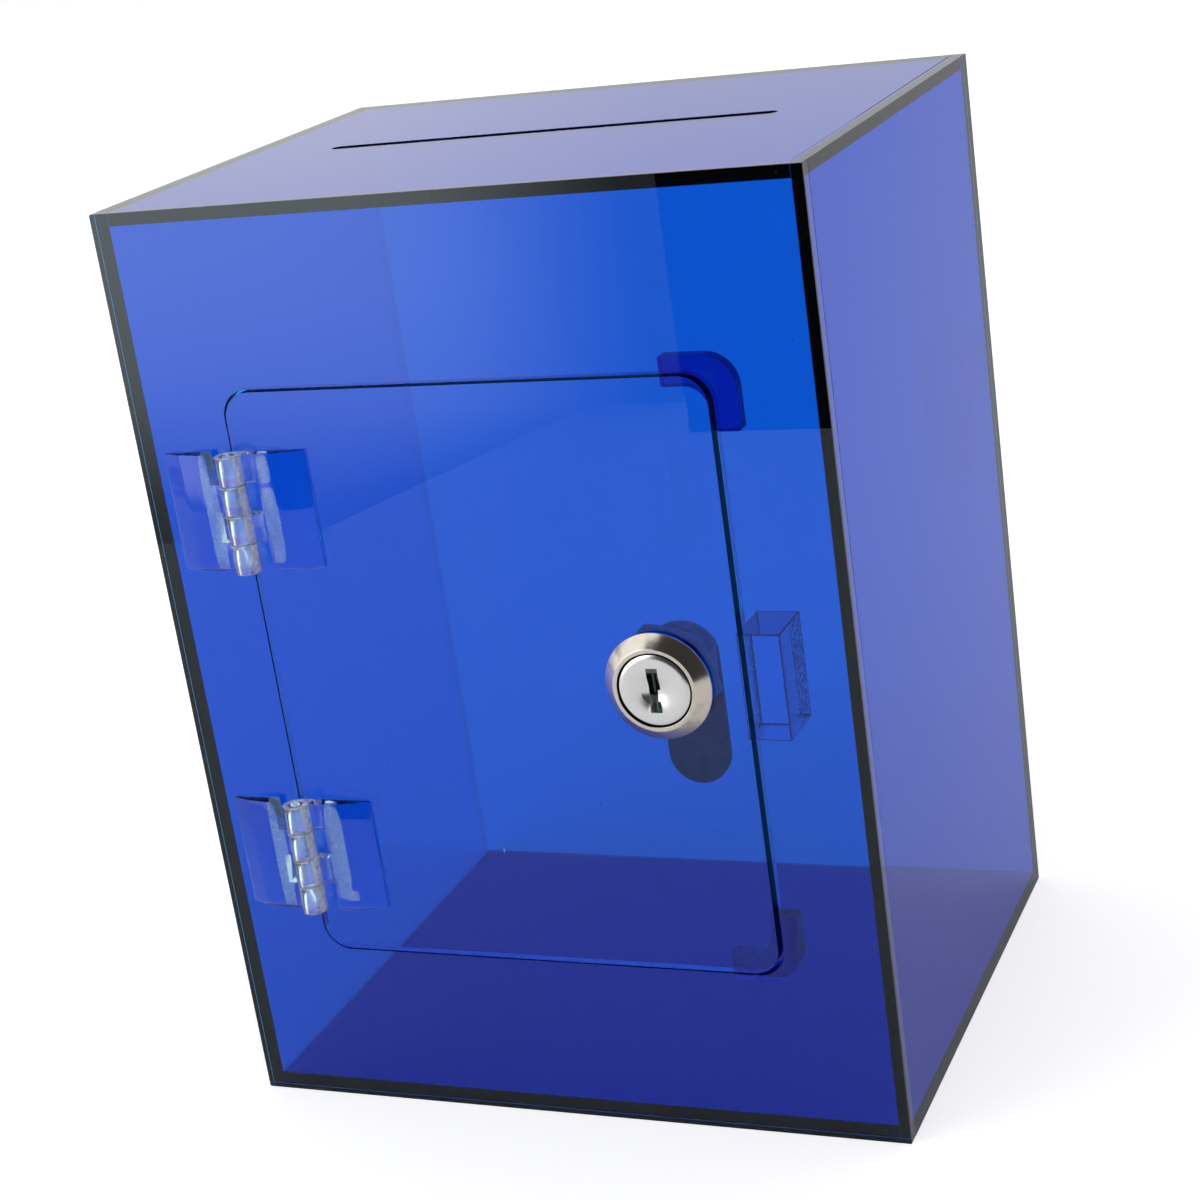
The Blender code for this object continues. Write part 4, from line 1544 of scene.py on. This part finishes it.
@dataclass
class LockCase:
    """The lock's bezel, threaded barrel and clamping nut, about an axis along Y.

    Attributes:
        centre: Where the axis meets the door's front face.
        bezel: The bezel's diameter.
        seat: The bezel's back, ahead of the door's face.
        height: The bezel's height.
        rim: The height of its straight rim.
        lip: The width of its front lip.
        roll: The radius of its rolled edges.
        chamfer: How wide the bevels of its bore and of its back edge are.
        head_bore: The radius of the bore round the plug's face.
        shank_bore: The radius of the bore round the plug's shank.
        barrel: The barrel's diameter.
        flats: The width over its flats.
        reach: How deep the barrel goes.
        groove: How deep the wafers' grooves are, and half their width.
        lug_end: How deep the lug on its end goes.
        lug_inner: The lug's inner radius.
        lug_drop: How far the lug lies inside the barrel's outside.
        lug_gap: By which angle each end of the lug falls short of three quarters of a turn.
        pitch: The thread's pitch.
        thread: The thread's depth.
        run_in: How long the thread takes to reach its depth at each end.
        nut_flats: The nut's width over its flats.
        nut_span: Where the nut starts and ends.
        nut_fall: How far its corners are turned down, against how far they stand out.
        nut_turn: How far the nut is turned.
        nut_play: The gap between the nut's bore and the barrel.
    """

    centre: Vector = LOCK_AXIS
    bezel: float = 22.4 * MM
    seat: float = -0.3 * MM
    height: float = 2.9 * MM
    rim: float = 0.5 * MM
    lip: float = 0.95 * MM
    roll: float = 0.16 * MM
    chamfer: Point = (0.12 * MM, 0.1 * MM)
    head_bore: float = 7.8 * MM
    shank_bore: float = 5.8 * MM
    barrel: float = 16 * MM
    flats: float = 14.6 * MM
    reach: float = 14.7 * MM
    groove: Point = (0.9 * MM, 2.85 * MM)
    lug_end: float = 16 * MM
    lug_inner: float = 6.9 * MM
    lug_drop: float = 0.1 * MM
    lug_gap: float = math.radians(20.0)
    pitch: float = 1 * MM
    thread: float = 0.45 * MM
    run_in: float = 0.8 * MM
    nut_flats: float = 20 * MM
    nut_span: Span = (3.02 * MM, 6.8 * MM)
    nut_fall: float = 0.55
    nut_turn: float = math.radians(-13.0)
    nut_play: float = 0.12 * MM

    def face(self, material: bpy.types.Material) -> None:
        """Makes the turned bezel.

        Args:
            material: Its finish.
        """
        front, step = self.seat - self.height, self.seat - self.rim * 0.6
        radius, roll = self.bezel / 2, self.roll
        bevel, back = self.chamfer
        slope = math.atan2(self.height - self.rim, radius - self.head_bore - self.lip) - QUARTER
        profile = [(self.shank_bore, self.seat), (self.shank_bore, step), (self.head_bore, step)]
        profile += [(self.head_bore, front + bevel), (self.head_bore + bevel, front)]
        profile += arc((self.head_bore + self.lip - roll, front + roll), roll, -QUARTER, slope, 4)
        profile += arc((radius - roll, self.seat - self.rim), roll, slope, 0.0, 6)
        profile += [(radius, self.seat - back), (radius - back, self.seat)]
        mesh = Form().turned(profile, 128, self.centre).mesh("bezel")
        piece = Piece("lock_bezel", mesh, material).smooth(24.0)
        piece.fit(Body.DOOR, Slot.NICKEL, "lock_body")

    def screw_thread(self, material: bpy.types.Material) -> bpy.types.Mesh:
        """Makes the barrel: one sheet of cells bent round into a flatted, threaded tube.

        Args:
            material: Its finish.

        Returns:
            The closed mesh.
        """
        turns = int(round((self.reach - self.seat) / self.pitch))
        sizes = {
            "Radius": self.barrel / 2,
            "Half Flats": self.flats / 2,
            "Bore": self.shank_bore,
            "Start": self.seat,
            "End": self.reach,
            "Pitch": self.pitch,
            "Thread Depth": self.thread,
            "Run In": self.run_in,
            "Round Steps": 97,
            "Length Steps": turns * 7,
            "X": self.centre.x,
            "Y": self.centre.y,
            "Z": self.centre.z,
        }
        tree = ShapeTree("threaded_barrel", sizes)
        board = tree.board
        rows = tree.size("Length Steps") + 2.0
        grid = {"Size X": 1.0, "Size Y": 1.0, "Vertices X": tree.size("Round Steps"), "Vertices Y": rows}
        cells = board.wire(board.add("GeometryNodeMeshGrid", None, grid))
        u, v, _ = board.split(board.wire(board.add("GeometryNodeInputPosition")))
        angle = (u + 0.5) * math.tau
        row = (v + 0.5) * (rows - 1.0)
        last = rows - 2.0
        share = row.least(last - 1.0) / (last - 1.0)
        inside = row.above(last - 0.5)
        deep = tree.size("Start") + share * (tree.size("End") - tree.size("Start"))
        back = row.above(last + 0.5)
        deep = deep * (1.0 - back) + tree.size("Start") * back
        phase = (deep / tree.size("Pitch") - (u + 0.5)).maths("FRACT")
        ridge = abs(phase - 0.5) * 2.0
        ends = (deep - tree.size("Start")).least(tree.size("End") - deep) / tree.size("Run In")
        groove = (ridge.ramp(0.12, 0.88, False) * tree.size("Thread Depth")) * ends.least(1.0)
        outer = tree.size("Radius") - groove
        radius = outer * (1.0 - inside) + tree.size("Bore") * inside
        half = tree.size("Half Flats")
        x = (radius * angle.maths("COSINE")).least(half).most(-half)
        z = radius * angle.maths("SINE")
        place = board.join(x + tree.size("X"), deep + tree.size("Y"), z + tree.size("Z"))
        bent = board.wire(board.add("GeometryNodeSetPosition", None, {"Geometry": cells, "Position": place}))
        return tree.run(bent, material)

    def body(self, material: bpy.types.Material) -> None:
        """Makes the barrel with its grooves and the lug on its end.

        Args:
            material: Its finish.
        """
        shape = Form()
        shape.work.from_mesh(self.screw_thread(material))
        bmesh.ops.remove_doubles(shape.work, verts=shape.work.verts, dist=0.002 * MM)
        rims = [edge for edge in shape.work.edges if edge.is_boundary]
        bmesh.ops.bridge_loops(shape.work, edges=rims)
        barrel = Piece("lock_barrel", shape.mesh("barrel"), material)
        deep = (self.seat - PAST, self.reach + PAST)
        extra, half = self.groove
        grooves = Form().prism(cross(self.shank_bore + extra, half), deep, Axis.Y, self.centre)
        barrel.carve(grooves.mesh("grooves")).smooth(40.0)
        barrel.fit(Body.DOOR, Slot.NICKEL, "lock_body")
        start, end = self.lug_gap, 3 * QUARTER - self.lug_gap
        flat = self.flats / 2
        rim = arc((0, 0), self.barrel / 2 - self.lug_drop, start, end, 40)
        rim = [(max(-flat, min(flat, u)), v) for u, v in rim]
        rim += arc((0, 0), self.lug_inner, end, start, 40)
        lug = Form().prism(rim, (self.reach - 0.05 * MM, self.lug_end), Axis.Y, self.centre)
        stop = Piece("lock_lug", lug.mesh("lug"), material).soften(0.08 * MM).smooth()
        stop.fit(Body.DOOR, Slot.NICKEL, "lock_body")

    def clamp(self, material: bpy.types.Material) -> None:
        """Makes the hexagonal nut, turned down at its corners.

        Args:
            material: Its finish.
        """
        flat = self.nut_flats / 2
        radius = flat / math.cos(math.pi / 6)
        corners = [self.nut_turn + side * math.pi / 3 for side in range(6)]
        outline = [(radius * math.cos(turn), radius * math.sin(turn)) for turn in corners]
        start, end = self.nut_span
        mesh = Form().prism(outline, self.nut_span, Axis.Y, self.centre).mesh("nut")
        nut = Piece("lock_clamping_nut", mesh, material)
        drop, level = self.nut_fall * (radius - flat), flat - 0.1 * MM
        profile = [(0.0, start), (level, start), (radius, start + drop)]
        profile += [(radius, end - drop), (level, end), (0.0, end)]
        nut.carve(Form().turned(profile, 96, self.centre).mesh("nut_turning"), Cut.INSIDE)
        bore = ring(self.barrel / 2 + self.nut_play, 64)
        nut.carve(Form().prism(bore, (start - PAST, end + PAST), Axis.Y, self.centre).mesh("nut_bore"))
        nut.soften(0.12 * MM, 2, 40.0).smooth(30.0)
        nut.fit(Body.DOOR, Slot.NICKEL, "lock_nut")

    def build(self, nickel: TurnedMetal, dull: TurnedMetal) -> None:
        """Makes the case.

        Args:
            nickel: The bezel's finish.
            dull: The finish behind the door.
        """
        self.face(nickel.build())
        inner = dull.build()
        self.body(inner)
        self.clamp(inner)


@dataclass
class LockCore:
    """What turns with the key: the plug, the cam and what holds it.

    Attributes:
        centre: Where the axis meets the door's front face.
        face: The plug face's diameter.
        face_depth: Where it lies.
        head_back: Where the head ends.
        fillet: How wide and how deep the face falls off at its rim.
        shank: The shank's radius.
        shank_end: Where the shank ends.
        tail: The square tail's width.
        tail_end: Where the tail ends.
        keyway: The keyway's width and height.
        ward: How far the ward stands in.
        keyway_end: How deep the keyway goes.
        dish: The dish's diameter and depth.
        wafers: How many wafer slots there are.
        wafer_depth: The first slot's middle.
        wafer_pitch: The distance between two slots.
        wafer: Half a slot's thickness, and half its width.
        pocket: How far each spring's pocket goes sideways, and half its height.
        screw: The screw bore's radius, and where it starts.
        cam: The cam's thickness and width.
        cam_depth: Where the cam starts.
        cam_reach: How far the cam reaches.
        cam_play: The gap between the cam's hole and the tail.
    """

    centre: Vector = LOCK_AXIS
    face: float = 15.0 * MM
    face_depth: float = -3.25 * MM
    head_back: float = -0.9 * MM
    fillet: Point = (1.15 * MM, 0.45 * MM)
    shank: float = 5.6 * MM
    shank_end: float = 14.7 * MM
    tail: float = 6.4 * MM
    tail_end: float = 18.0 * MM
    keyway: Point = (2.4 * MM, 9.3 * MM)
    ward: float = 0.6 * MM
    keyway_end: float = 11.5 * MM
    dish: Point = (6.0 * MM, 0.6 * MM)
    wafers: int = 5
    wafer_depth: float = 0.2 * MM
    wafer_pitch: float = 2.1 * MM
    wafer: Point = (0.55 * MM, 2.85 * MM)
    pocket: Point = (4.0 * MM, 2.95 * MM)
    screw: Point = (2.1 * MM, 15.4 * MM)
    cam: Point = (2 * MM, 13 * MM)
    cam_depth: float = 16.3 * MM
    cam_reach: float = 28.0 * MM
    cam_play: float = 0.2 * MM

    def key_outline(self) -> list[Point]:
        """Gives the keyway's outline with its ward.

        Returns:
            Its corners.
        """
        half, high = self.keyway[0] / 2, self.keyway[1] / 2
        step = half - self.ward
        outline = [(-half, -high), (half, -high), (half, -high / 2), (step, -high / 2), (step, 0.0)]
        return outline + [(half, 0.0), (half, high), (-half, high)]

    def bowl(self) -> bpy.types.Mesh:
        """Makes the shape that the face's dish is cut with.

        Returns:
            The cutter.
        """
        wide, deep = self.dish
        ball = (wide ** 2 / 4 + deep ** 2) / (2 * deep)
        steps = 14
        lean = math.asin(min(1.0, (wide / 2 + 0.05 * MM) / ball))
        turns = [lean * step / steps for step in range(steps + 1)]
        low = self.face_depth + deep - ball
        cap = [(ball * math.sin(turn), ball * math.cos(turn) + low) for turn in reversed(turns)]
        front = self.face_depth - PAST
        return Form().turned([(0.0, front), (cap[0][0], front)] + cap, 64, self.centre).mesh("dish")

    def slots(self) -> bpy.types.Mesh:
        """Makes the shapes that the wafers' slots are cut with.

        Returns:
            The cutters, in one mesh.
        """
        thick, edge = self.wafer
        outer, pocket = self.pocket
        ends = self.shank + PAST
        outline = [(-edge, -ends), (edge, -ends), (edge, -pocket), (outer, -pocket), (outer, pocket)]
        outline += [(edge, pocket), (edge, ends), (-edge, ends)]
        form = Form()
        for number in range(self.wafers):
            middle = self.wafer_depth + self.wafer_pitch * number
            form.prism(outline, (middle - thick, middle + thick), Axis.Y, self.centre)
        return form.mesh("wafer_slots")

    def plug(self, material: bpy.types.Material) -> None:
        """Makes the plug with its face, keyway, wafer slots and tail.

        Args:
            material: Its finish.
        """
        radius = self.face / 2
        wide, deep = self.fillet
        fall = arc((0.0, 0.0), 1.0, -QUARTER, 0, 16)
        profile = [(0.0, self.face_depth)]
        profile += [(radius - wide + wide * u, self.face_depth + deep + deep * v) for u, v in fall]
        profile += [(radius, self.head_back), (self.shank, self.head_back), (self.shank, self.shank_end)]
        profile += [(0.0, self.shank_end)]
        piece = Piece("lock_keyed_core", Form().turned(profile, 128, self.centre).mesh("core"), material)
        piece.carve(self.bowl())
        way = Form().prism(self.key_outline(), (self.face_depth - PAST, self.keyway_end), Axis.Y, self.centre)
        piece.carve(way.mesh("keyway")).carve(self.slots()).soften(0.06 * MM, 1, 40.0).smooth(24.0)
        piece.fit(Body.CORE, Slot.PLUG, "lock_plug")
        half = self.tail / 2
        square = rectangle((-half, -half), (half, half))
        shank = Form().prism(square, (self.shank_end - 0.3 * MM, self.tail_end), Axis.Y, self.centre)
        tail = Piece("lock_core_tail", shank.mesh("tail"), material)
        wide, start = self.screw
        bore = Form().prism(ring(wide, 32), (start, self.tail_end + PAST), Axis.Y, self.centre)
        tail.carve(bore.mesh("screw_bore")).soften(0.2 * MM, 2, 40.0).smooth()
        tail.fit(Body.CORE, Slot.PLUG, "lock_plug")

    def finger(self, material: bpy.types.Material) -> None:
        """Makes the cam, hanging down as the unlocked lock leaves it.

        Args:
            material: Its finish.
        """
        thick, width = self.cam
        half = width / 2
        outline = arc((0, 0), half, 0, math.pi, 40)
        outline += arc((0, half - self.cam_reach), half, math.pi, math.tau, 40)
        end = self.cam_depth + thick
        mesh = Form().prism(outline, (self.cam_depth, end), Axis.Y, self.centre).mesh("cam")
        piece = Piece("lock_cam_finger", mesh, material)
        room = self.tail / 2 + self.cam_play
        square = rectangle((-room, -room), (room, room))
        hole = Form().prism(square, (self.cam_depth - PAST, end + PAST), Axis.Y, self.centre)
        piece.carve(hole.mesh("cam_hole")).soften(0.25 * MM, 2, 40.0).smooth()
        piece.fit(Body.CORE, Slot.STEEL, "lock_cam")

    def build(self, plate: TurnedMetal, steel: TurnedMetal) -> None:
        """Makes the core from the plug's finish and the cam's."""
        self.plug(plate.build())
        self.finger(steel.build())


@dataclass
class SmallParts:
    """The lock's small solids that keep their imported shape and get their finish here.

    Attributes:
        finishes: The finish of the solids whose names start with each key.
    """

    finishes: dict[str, TurnedMetal]

    def build(self) -> None:
        """Gives each solid its finish."""
        for name, finish in self.finishes.items():
            material = finish.build()
            for item in [item for item in bpy.data.objects if item.name.startswith(name)]:
                for place in item.material_slots:
                    place.material = material
                LOG.info("%s is dressed in %s", item.name, finish.name)


@dataclass(frozen=True)
class Glow:
    """How bright a card is from place to place.

    Attributes:
        across: Places along X with the brightness there.
        along: Places along a second axis with the share that is left there.
        axis: The second axis.
    """

    across: tuple[Point, ...]
    along: tuple[Point, ...]
    axis: Axis

    def colour(self, board: ShaderBoard) -> Wire:
        """Gives the brightness as a grey.

        Args:
            board: The card's tree.

        Returns:
            The colour's wire.
        """
        x, y, z = board.split(board.place)
        second = {Axis.X: x, Axis.Y: y, Axis.Z: z}[self.axis]
        first = self.ramp(board, x, self.across)
        inputs = {0: 1.0, 6: first, 7: self.ramp(board, second, self.along)}
        node = board.add("ShaderNodeMix", {"data_type": "RGBA", "blend_type": "MULTIPLY"}, inputs)
        return board.wire(node, 2)

    @staticmethod
    def ramp(board: ShaderBoard, place: Wire, stops: tuple[Point, ...]) -> Wire:
        """Gives a grey that follows the stops.

        Args:
            board: The card's tree.
            place: The place along the axis.
            stops: Places with their brightness.

        Returns:
            The grey's wire.
        """
        low, high = stops[0][0], stops[-1][0]
        shares = [((where - low) / (high - low), (value,) * 3) for where, value in stops]
        share = (place - low) / (high - low)
        node = board.add("ShaderNodeValToRGB", {"stops": shares}, {0: share})
        return board.wire(node)


@dataclass
class Studio:
    """The pale table, the soft light, the shields that gloss sees, and the camera.

    Attributes:
        table: The table's colour.
        reach: How far the table goes to each side.
        sunk: How far it lies under the box.
        daylight: The light that comes from all round.
        camera_place: Where the camera stands.
        camera_axes: The directions of its picture's right and top, and the way that it looks away from.
        lens: Its focal length.
    """

    table: Colour = (0.76, 0.76, 0.76)
    reach: float = 3.0
    sunk: float = 0.05 * MM
    daylight: float = 0.75
    camera_place: Vector = Vector((0.21155, -0.46955, 0.27214))
    camera_axes: tuple[Vector, ...] = (
        Vector((0.9191364, 0.3688213, -0.1384166)),
        Vector((-0.0005637, 0.3525961, 0.9357754)),
        Vector((0.3939390, -0.8600272, 0.3242918)),
    )
    lens: float = 73.24

    @staticmethod
    def flat(name: str, corners: list[Vector]) -> bpy.types.Object:
        """Puts one flat face in the scene.

        Args:
            name: The object's name.
            corners: The face's corners in order.

        Returns:
            The object.
        """
        mesh = bpy.data.meshes.new(name)
        mesh.from_pydata([tuple(corner) for corner in corners], [], [list(range(len(corners)))])
        item = bpy.data.objects.new(name, mesh)
        bpy.context.scene.collection.objects.link(item)
        return item

    @staticmethod
    def wall(left: float, right: float, y: float, top: float) -> list[Vector]:
        """Gives the corners of an upright card that stands on the table and faces along Y."""
        return [Vector((x, y, z)) for x, z in rectangle((left, 0.0), (right, top))]

    def card(self, name: str, corners: list[Vector], glow: Glow, seen_by_light: bool) -> None:
        """Makes a flat card that only gloss sees, and that may light the scene.

        Args:
            name: Its name.
            corners: Its corners in order.
            glow: How bright it is from place to place.
            seen_by_light: Whether it lights what stands round it.
        """
        item = self.flat(name, corners)
        material = bpy.data.materials.new(name)
        board = ShaderBoard(material)
        inputs = {"Color": glow.colour(board), "Strength": 1.0}
        board.surface(board.wire(board.add("ShaderNodeEmission", None, inputs)))
        item.data.materials.append(material)
        item.visible_camera = False
        item.visible_transmission = False
        item.visible_diffuse = seen_by_light
        item.visible_shadow = seen_by_light

    def light(self) -> None:
        """Sets up the softbox and the cards that shape the gloss."""
        fade = ((-0.45, 2.4), (-0.37, 2.35), (-0.32, 2.25), (-0.29, 2.0), (-0.27, 1.7), (-0.245, 1.2))
        fade += ((-0.22, 0.72), (-0.195, 0.36), (-0.18, 0.33))
        rise = ((0.0, 0.62), (0.02, 0.76), (0.04, 0.84), (0.06, 0.92), (0.1, 1.0))
        outer, far = -0.9, -0.62
        self.card("softbox", self.wall(-0.178, outer, far, 0.9), Glow(fade, rise, Axis.Z), True)
        # Painted light: a glowing card on the table, seen only in gloss, stands for the softbox's pool of
        # light there, dimmer further back.
        foot = ((-0.269, -0.45), (-0.223, far), (outer, far), (outer, -0.3))
        pool = [Vector((x, y, 0.4 * MM)) for x, y in foot]
        dim = ((far, 0.62), (-0.55, 0.44), (-0.49, 0.28), (-0.42, 0.2))
        self.card("softbox_foot", pool, Glow(fade, dim, Axis.Y), False)
        even = ((0.0, 1.0), (1.2, 1.0))
        dark = Glow(((-1.0, 0.034), (1.0, 0.034)), even, Axis.Z)
        self.card("dark_curtain", self.wall(-0.158, 2.2, -0.572, 2.4), dark, False)
        self.card("dark_curtain_left", self.wall(-0.62, -0.1, far - 0.01, 1.3), dark, False)
        grey = Glow(((-1.5, 0.85), (-1.0, 0.72), (0.6, 0.7)), even, Axis.Z)
        self.card("grey_backdrop", self.wall(-3.0, 3.0, 2.6, 1.6), grey, False)

    def floor(self) -> None:
        """Makes the pale table, which gloss sees as it is lit and the eye sees as white; rays through the
        sheets see it glow green-tinted, and dimmer and blue under the box, a painted blue shadow.
        """
        square = rectangle((-self.reach, -self.reach), (self.reach, self.reach))
        item = self.flat("table_top", [Vector((x, y, -self.sunk)) for x, y in square])
        material = bpy.data.materials.new("table_paper")
        board = ShaderBoard(material)
        grain = board.noise(board.place, 4 * MM, 3.0)
        pale = tuple(part * 0.985 for part in self.table)
        paper = board.principled(
            {
                "Base Color": board.colour_mix(grain, self.table, pale),
                "Roughness": 0.9,
                "Specular IOR Level": 0.1,
                "Normal": board.bump(grain, 0.05, 0.05 * MM),
            }
        )
        path = board.add("ShaderNodeLightPath")
        x, y, _ = board.split(board.place)
        # Painted shadow: under the box, the glow that rays through the sheets see is lowered and turned blue.
        under = abs(x).ramp(0.078, 0.07) * abs(y).ramp(0.063, 0.055)
        through = board.wire(path, "Is Transmission Ray") * (0.5 - under * 0.28)
        share = (board.wire(path, "Is Camera Ray") * 0.55).most(through)
        # Painted light: the glow seen through the sheets is tinted green, and blue in the painted shadow
        # under the box.
        tint = board.colour_mix(under, (1.0, 1.8, 1.0), (0.5, 0.2, 1.15))
        tint = board.colour_mix(board.wire(path, "Is Camera Ray"), tint, (1.0, 1.0, 1.0))
        glow = board.wire(board.add("ShaderNodeVectorMath", {"operation": "SCALE"}, {0: tint, 3: share}))
        lift = board.add("ShaderNodeEmission", None, {"Color": glow, "Strength": 1.0})
        both = board.add("ShaderNodeAddShader", None, {0: paper, 1: board.wire(lift)})
        board.surface(board.wire(both))
        item.data.materials.append(material)

    def sky(self) -> None:
        """Makes the white background and the even light."""
        world = bpy.data.worlds.new("white_room")
        bpy.context.scene.world = world
        world.use_nodes = True
        world.node_tree.nodes.clear()
        board = Board(world.node_tree)
        path = board.add("ShaderNodeLightPath")
        seen = board.wire(path, "Is Camera Ray").most(board.wire(path, "Is Transmission Ray"))
        seen = seen.most(board.wire(path, "Is Glossy Ray"))
        strength = seen * (1.0 - self.daylight) + self.daylight
        sky = board.add("ShaderNodeBackground", None, {"Color": (1.0, 1.0, 1.0, 1.0), "Strength": strength})
        board.add("ShaderNodeOutputWorld", None, {"Surface": board.wire(sky)})

    def camera(self) -> None:
        """Puts the camera where the photograph was taken from."""
        data = bpy.data.cameras.new("camera")
        data.lens = self.lens
        data.sensor_width = 36.0
        data.sensor_fit = "HORIZONTAL"
        data.clip_start = 0.01
        item = bpy.data.objects.new("camera", data)
        bpy.context.scene.collection.objects.link(item)
        turn = Matrix(self.camera_axes).transposed().to_4x4()
        item.matrix_world = Matrix.Translation(self.camera_place) @ turn
        bpy.context.scene.camera = item

    def build(self) -> None:
        """Sets the studio up."""
        scene = bpy.context.scene
        scene.view_settings.view_transform = "Standard"
        scene.cycles.max_bounces = 32
        scene.cycles.transmission_bounces = 24
        scene.cycles.transparent_max_bounces = 24
        scene.cycles.glossy_bounces = 8
        scene.cycles.caustics_reflective = True
        self.sky()
        self.floor()
        self.light()
        self.camera()


def main() -> None:
    """Builds the studio and every piece of the money box in order."""
    logging.basicConfig(level=logging.INFO, format="%(name)s: %(message)s")
    Studio().build()
    sheets, block = Carcass(), CatchBlock()
    axis = (-52 * MM, -63.1 * MM)
    missed = (AirGap(-0.2 * MM, 8.6 * MM, 1.3 * MM, 3 * MM), AirGap(0.0, -3.4 * MM, 1.5 * MM, 8 * MM))
    upper = Hinge("upper_clear_hinge", Vector((*axis, 137.5 * MM)), missed)
    missed = (AirGap(0.3 * MM, 0.6 * MM, 1.9 * MM, 11 * MM), AirGap(1.9 * MM, -9.6 * MM, 1.4 * MM, 1.2 * MM))
    lower = Hinge("lower_clear_hinge", Vector((*axis, 60 * MM)), missed)
    hinges = (upper, lower)
    jamb, sill, lintel = sheets.jambs()
    bends = (
        CornerStop("upper_bent_stop", "upper_corner_stop", 1, (53.75 * MM, 162.5 * MM), (jamb, lintel)),
        CornerStop("lower_bent_stop", "lower_corner_stop", -1, (52.55 * MM, 37.5 * MM), (jamb, sill)),
    )
    seams = sheets.seams()
    stops = tuple(pad for bend in bends for pad in bend.pads())
    wetted = (*seams, *(hinge.pad(Leaf.FRAME) for hinge in hinges), *stops, block.pad(jamb))

    blue, tinted = (0.02, 0.552, 0.914), 1000.0
    look = {"gleam": (1.0, 1.2, 1.28)}
    plain = Acrylic("tinted_sheet", blue, tinted, wetted=seams, seam=0.9, **look)
    look.update(shade=0.9, polished=Axis.Z, sawn_reach=(60 * MM, 10 * MM))
    lid = Acrylic("tinted_lid", blue, tinted, wetted=seams, seam=0.9, **look)
    look.update(polished=Axis.Y, sawn_reach=(60 * MM, 70 * MM))
    front = Acrylic("tinted_front", blue, tinted, wetted=wetted, frost=0.13, **look)
    sheets.build(plain, front, lid)
    door_pads = tuple(hinge.pad(Leaf.DOOR) for hinge in hinges)
    Door().build(Acrylic("tinted_door", blue, tinted, wetted=door_pads, **look))
    strip = Acrylic("tinted_strip", (0.02, 0.4, 0.85), tinted, wetted=stops, dust=0.0).build()
    for bend in bends:
        bend.build(strip)
    clear = (0.86, 0.87, 0.99)
    look = {"polished": Axis.Y, "grain": 0.04, "dust": 0.0, "chipped": (block.low, block.high), "body": 0.55}
    block.build(Acrylic("sawn_block", clear, 80.0, wetted=(block.pad(jamb),), **look))
    moulded, thin = (0.7, 0.72, 0.975), 150.0
    rod = Acrylic("clear_rod", clear, 60.0, dust=0.0)
    for hinge in hinges:
        look = {"sheen": 0.03, "dust": 0.1, "haze": 0.38, "knuckles": about(hinge.middle.x, 2.95 * MM)}
        fixed = Acrylic(hinge.name + "_fixed", moulded, thin, wetted=(hinge.pad(Leaf.FRAME),), **look)
        swung = Acrylic(hinge.name + "_swung", moulded, thin, wetted=(hinge.pad(Leaf.DOOR),), **look)
        hinge.build(fixed, swung, rod)

    clean, worn = (0.87, 0.80, 0.71), (0.42, 0.34, 0.28)
    nickel = TurnedMetal("nickel_plate", clean, worn, 0.12, 0.02 * MM, 0.25, grimy=(0.0, 7.83 * MM))
    dull = TurnedMetal("dull_nickel", (0.45, 0.43, 0.40), (0.12, 0.10, 0.09), 0.3, 0.04 * MM, 0.3)
    LockCase().build(nickel, dull)
    clean, worn = (0.97, 0.965, 0.97), (0.75, 0.73, 0.72)
    plate = TurnedMetal("plug_plate", clean, worn, 0.16, 0.008 * MM, 0.12, grimy=(7.43 * MM, 8 * MM))
    steel = TurnedMetal("cam_steel", (0.10, 0.10, 0.11), (0.04, 0.035, 0.03), 0.35, 0.03 * MM, 0.3)
    LockCore().build(plate, steel)
    zinc = TurnedMetal("zinc", (0.62, 0.64, 0.66), (0.32, 0.33, 0.34), 0.3, 0.02 * MM, 0.25)
    wafer = TurnedMetal("wafer_plate", (0.20, 0.27, 0.27), (0.04, 0.05, 0.05), 0.3, 0.02 * MM, 0.3)
    spring = TurnedMetal("spring", (0.5, 0.5, 0.52), (0.2, 0.2, 0.22), 0.25, 0.01 * MM, 0.2)
    finishes = {"stop_washer": zinc, "screw_washer": zinc, "cam_screw": zinc, "wafer_spring_": spring}
    for number in range(1, 6):
        finishes[f"wafer_{number}"] = wafer
    SmallParts(finishes).build()


if __name__ == "__main__":
    main()
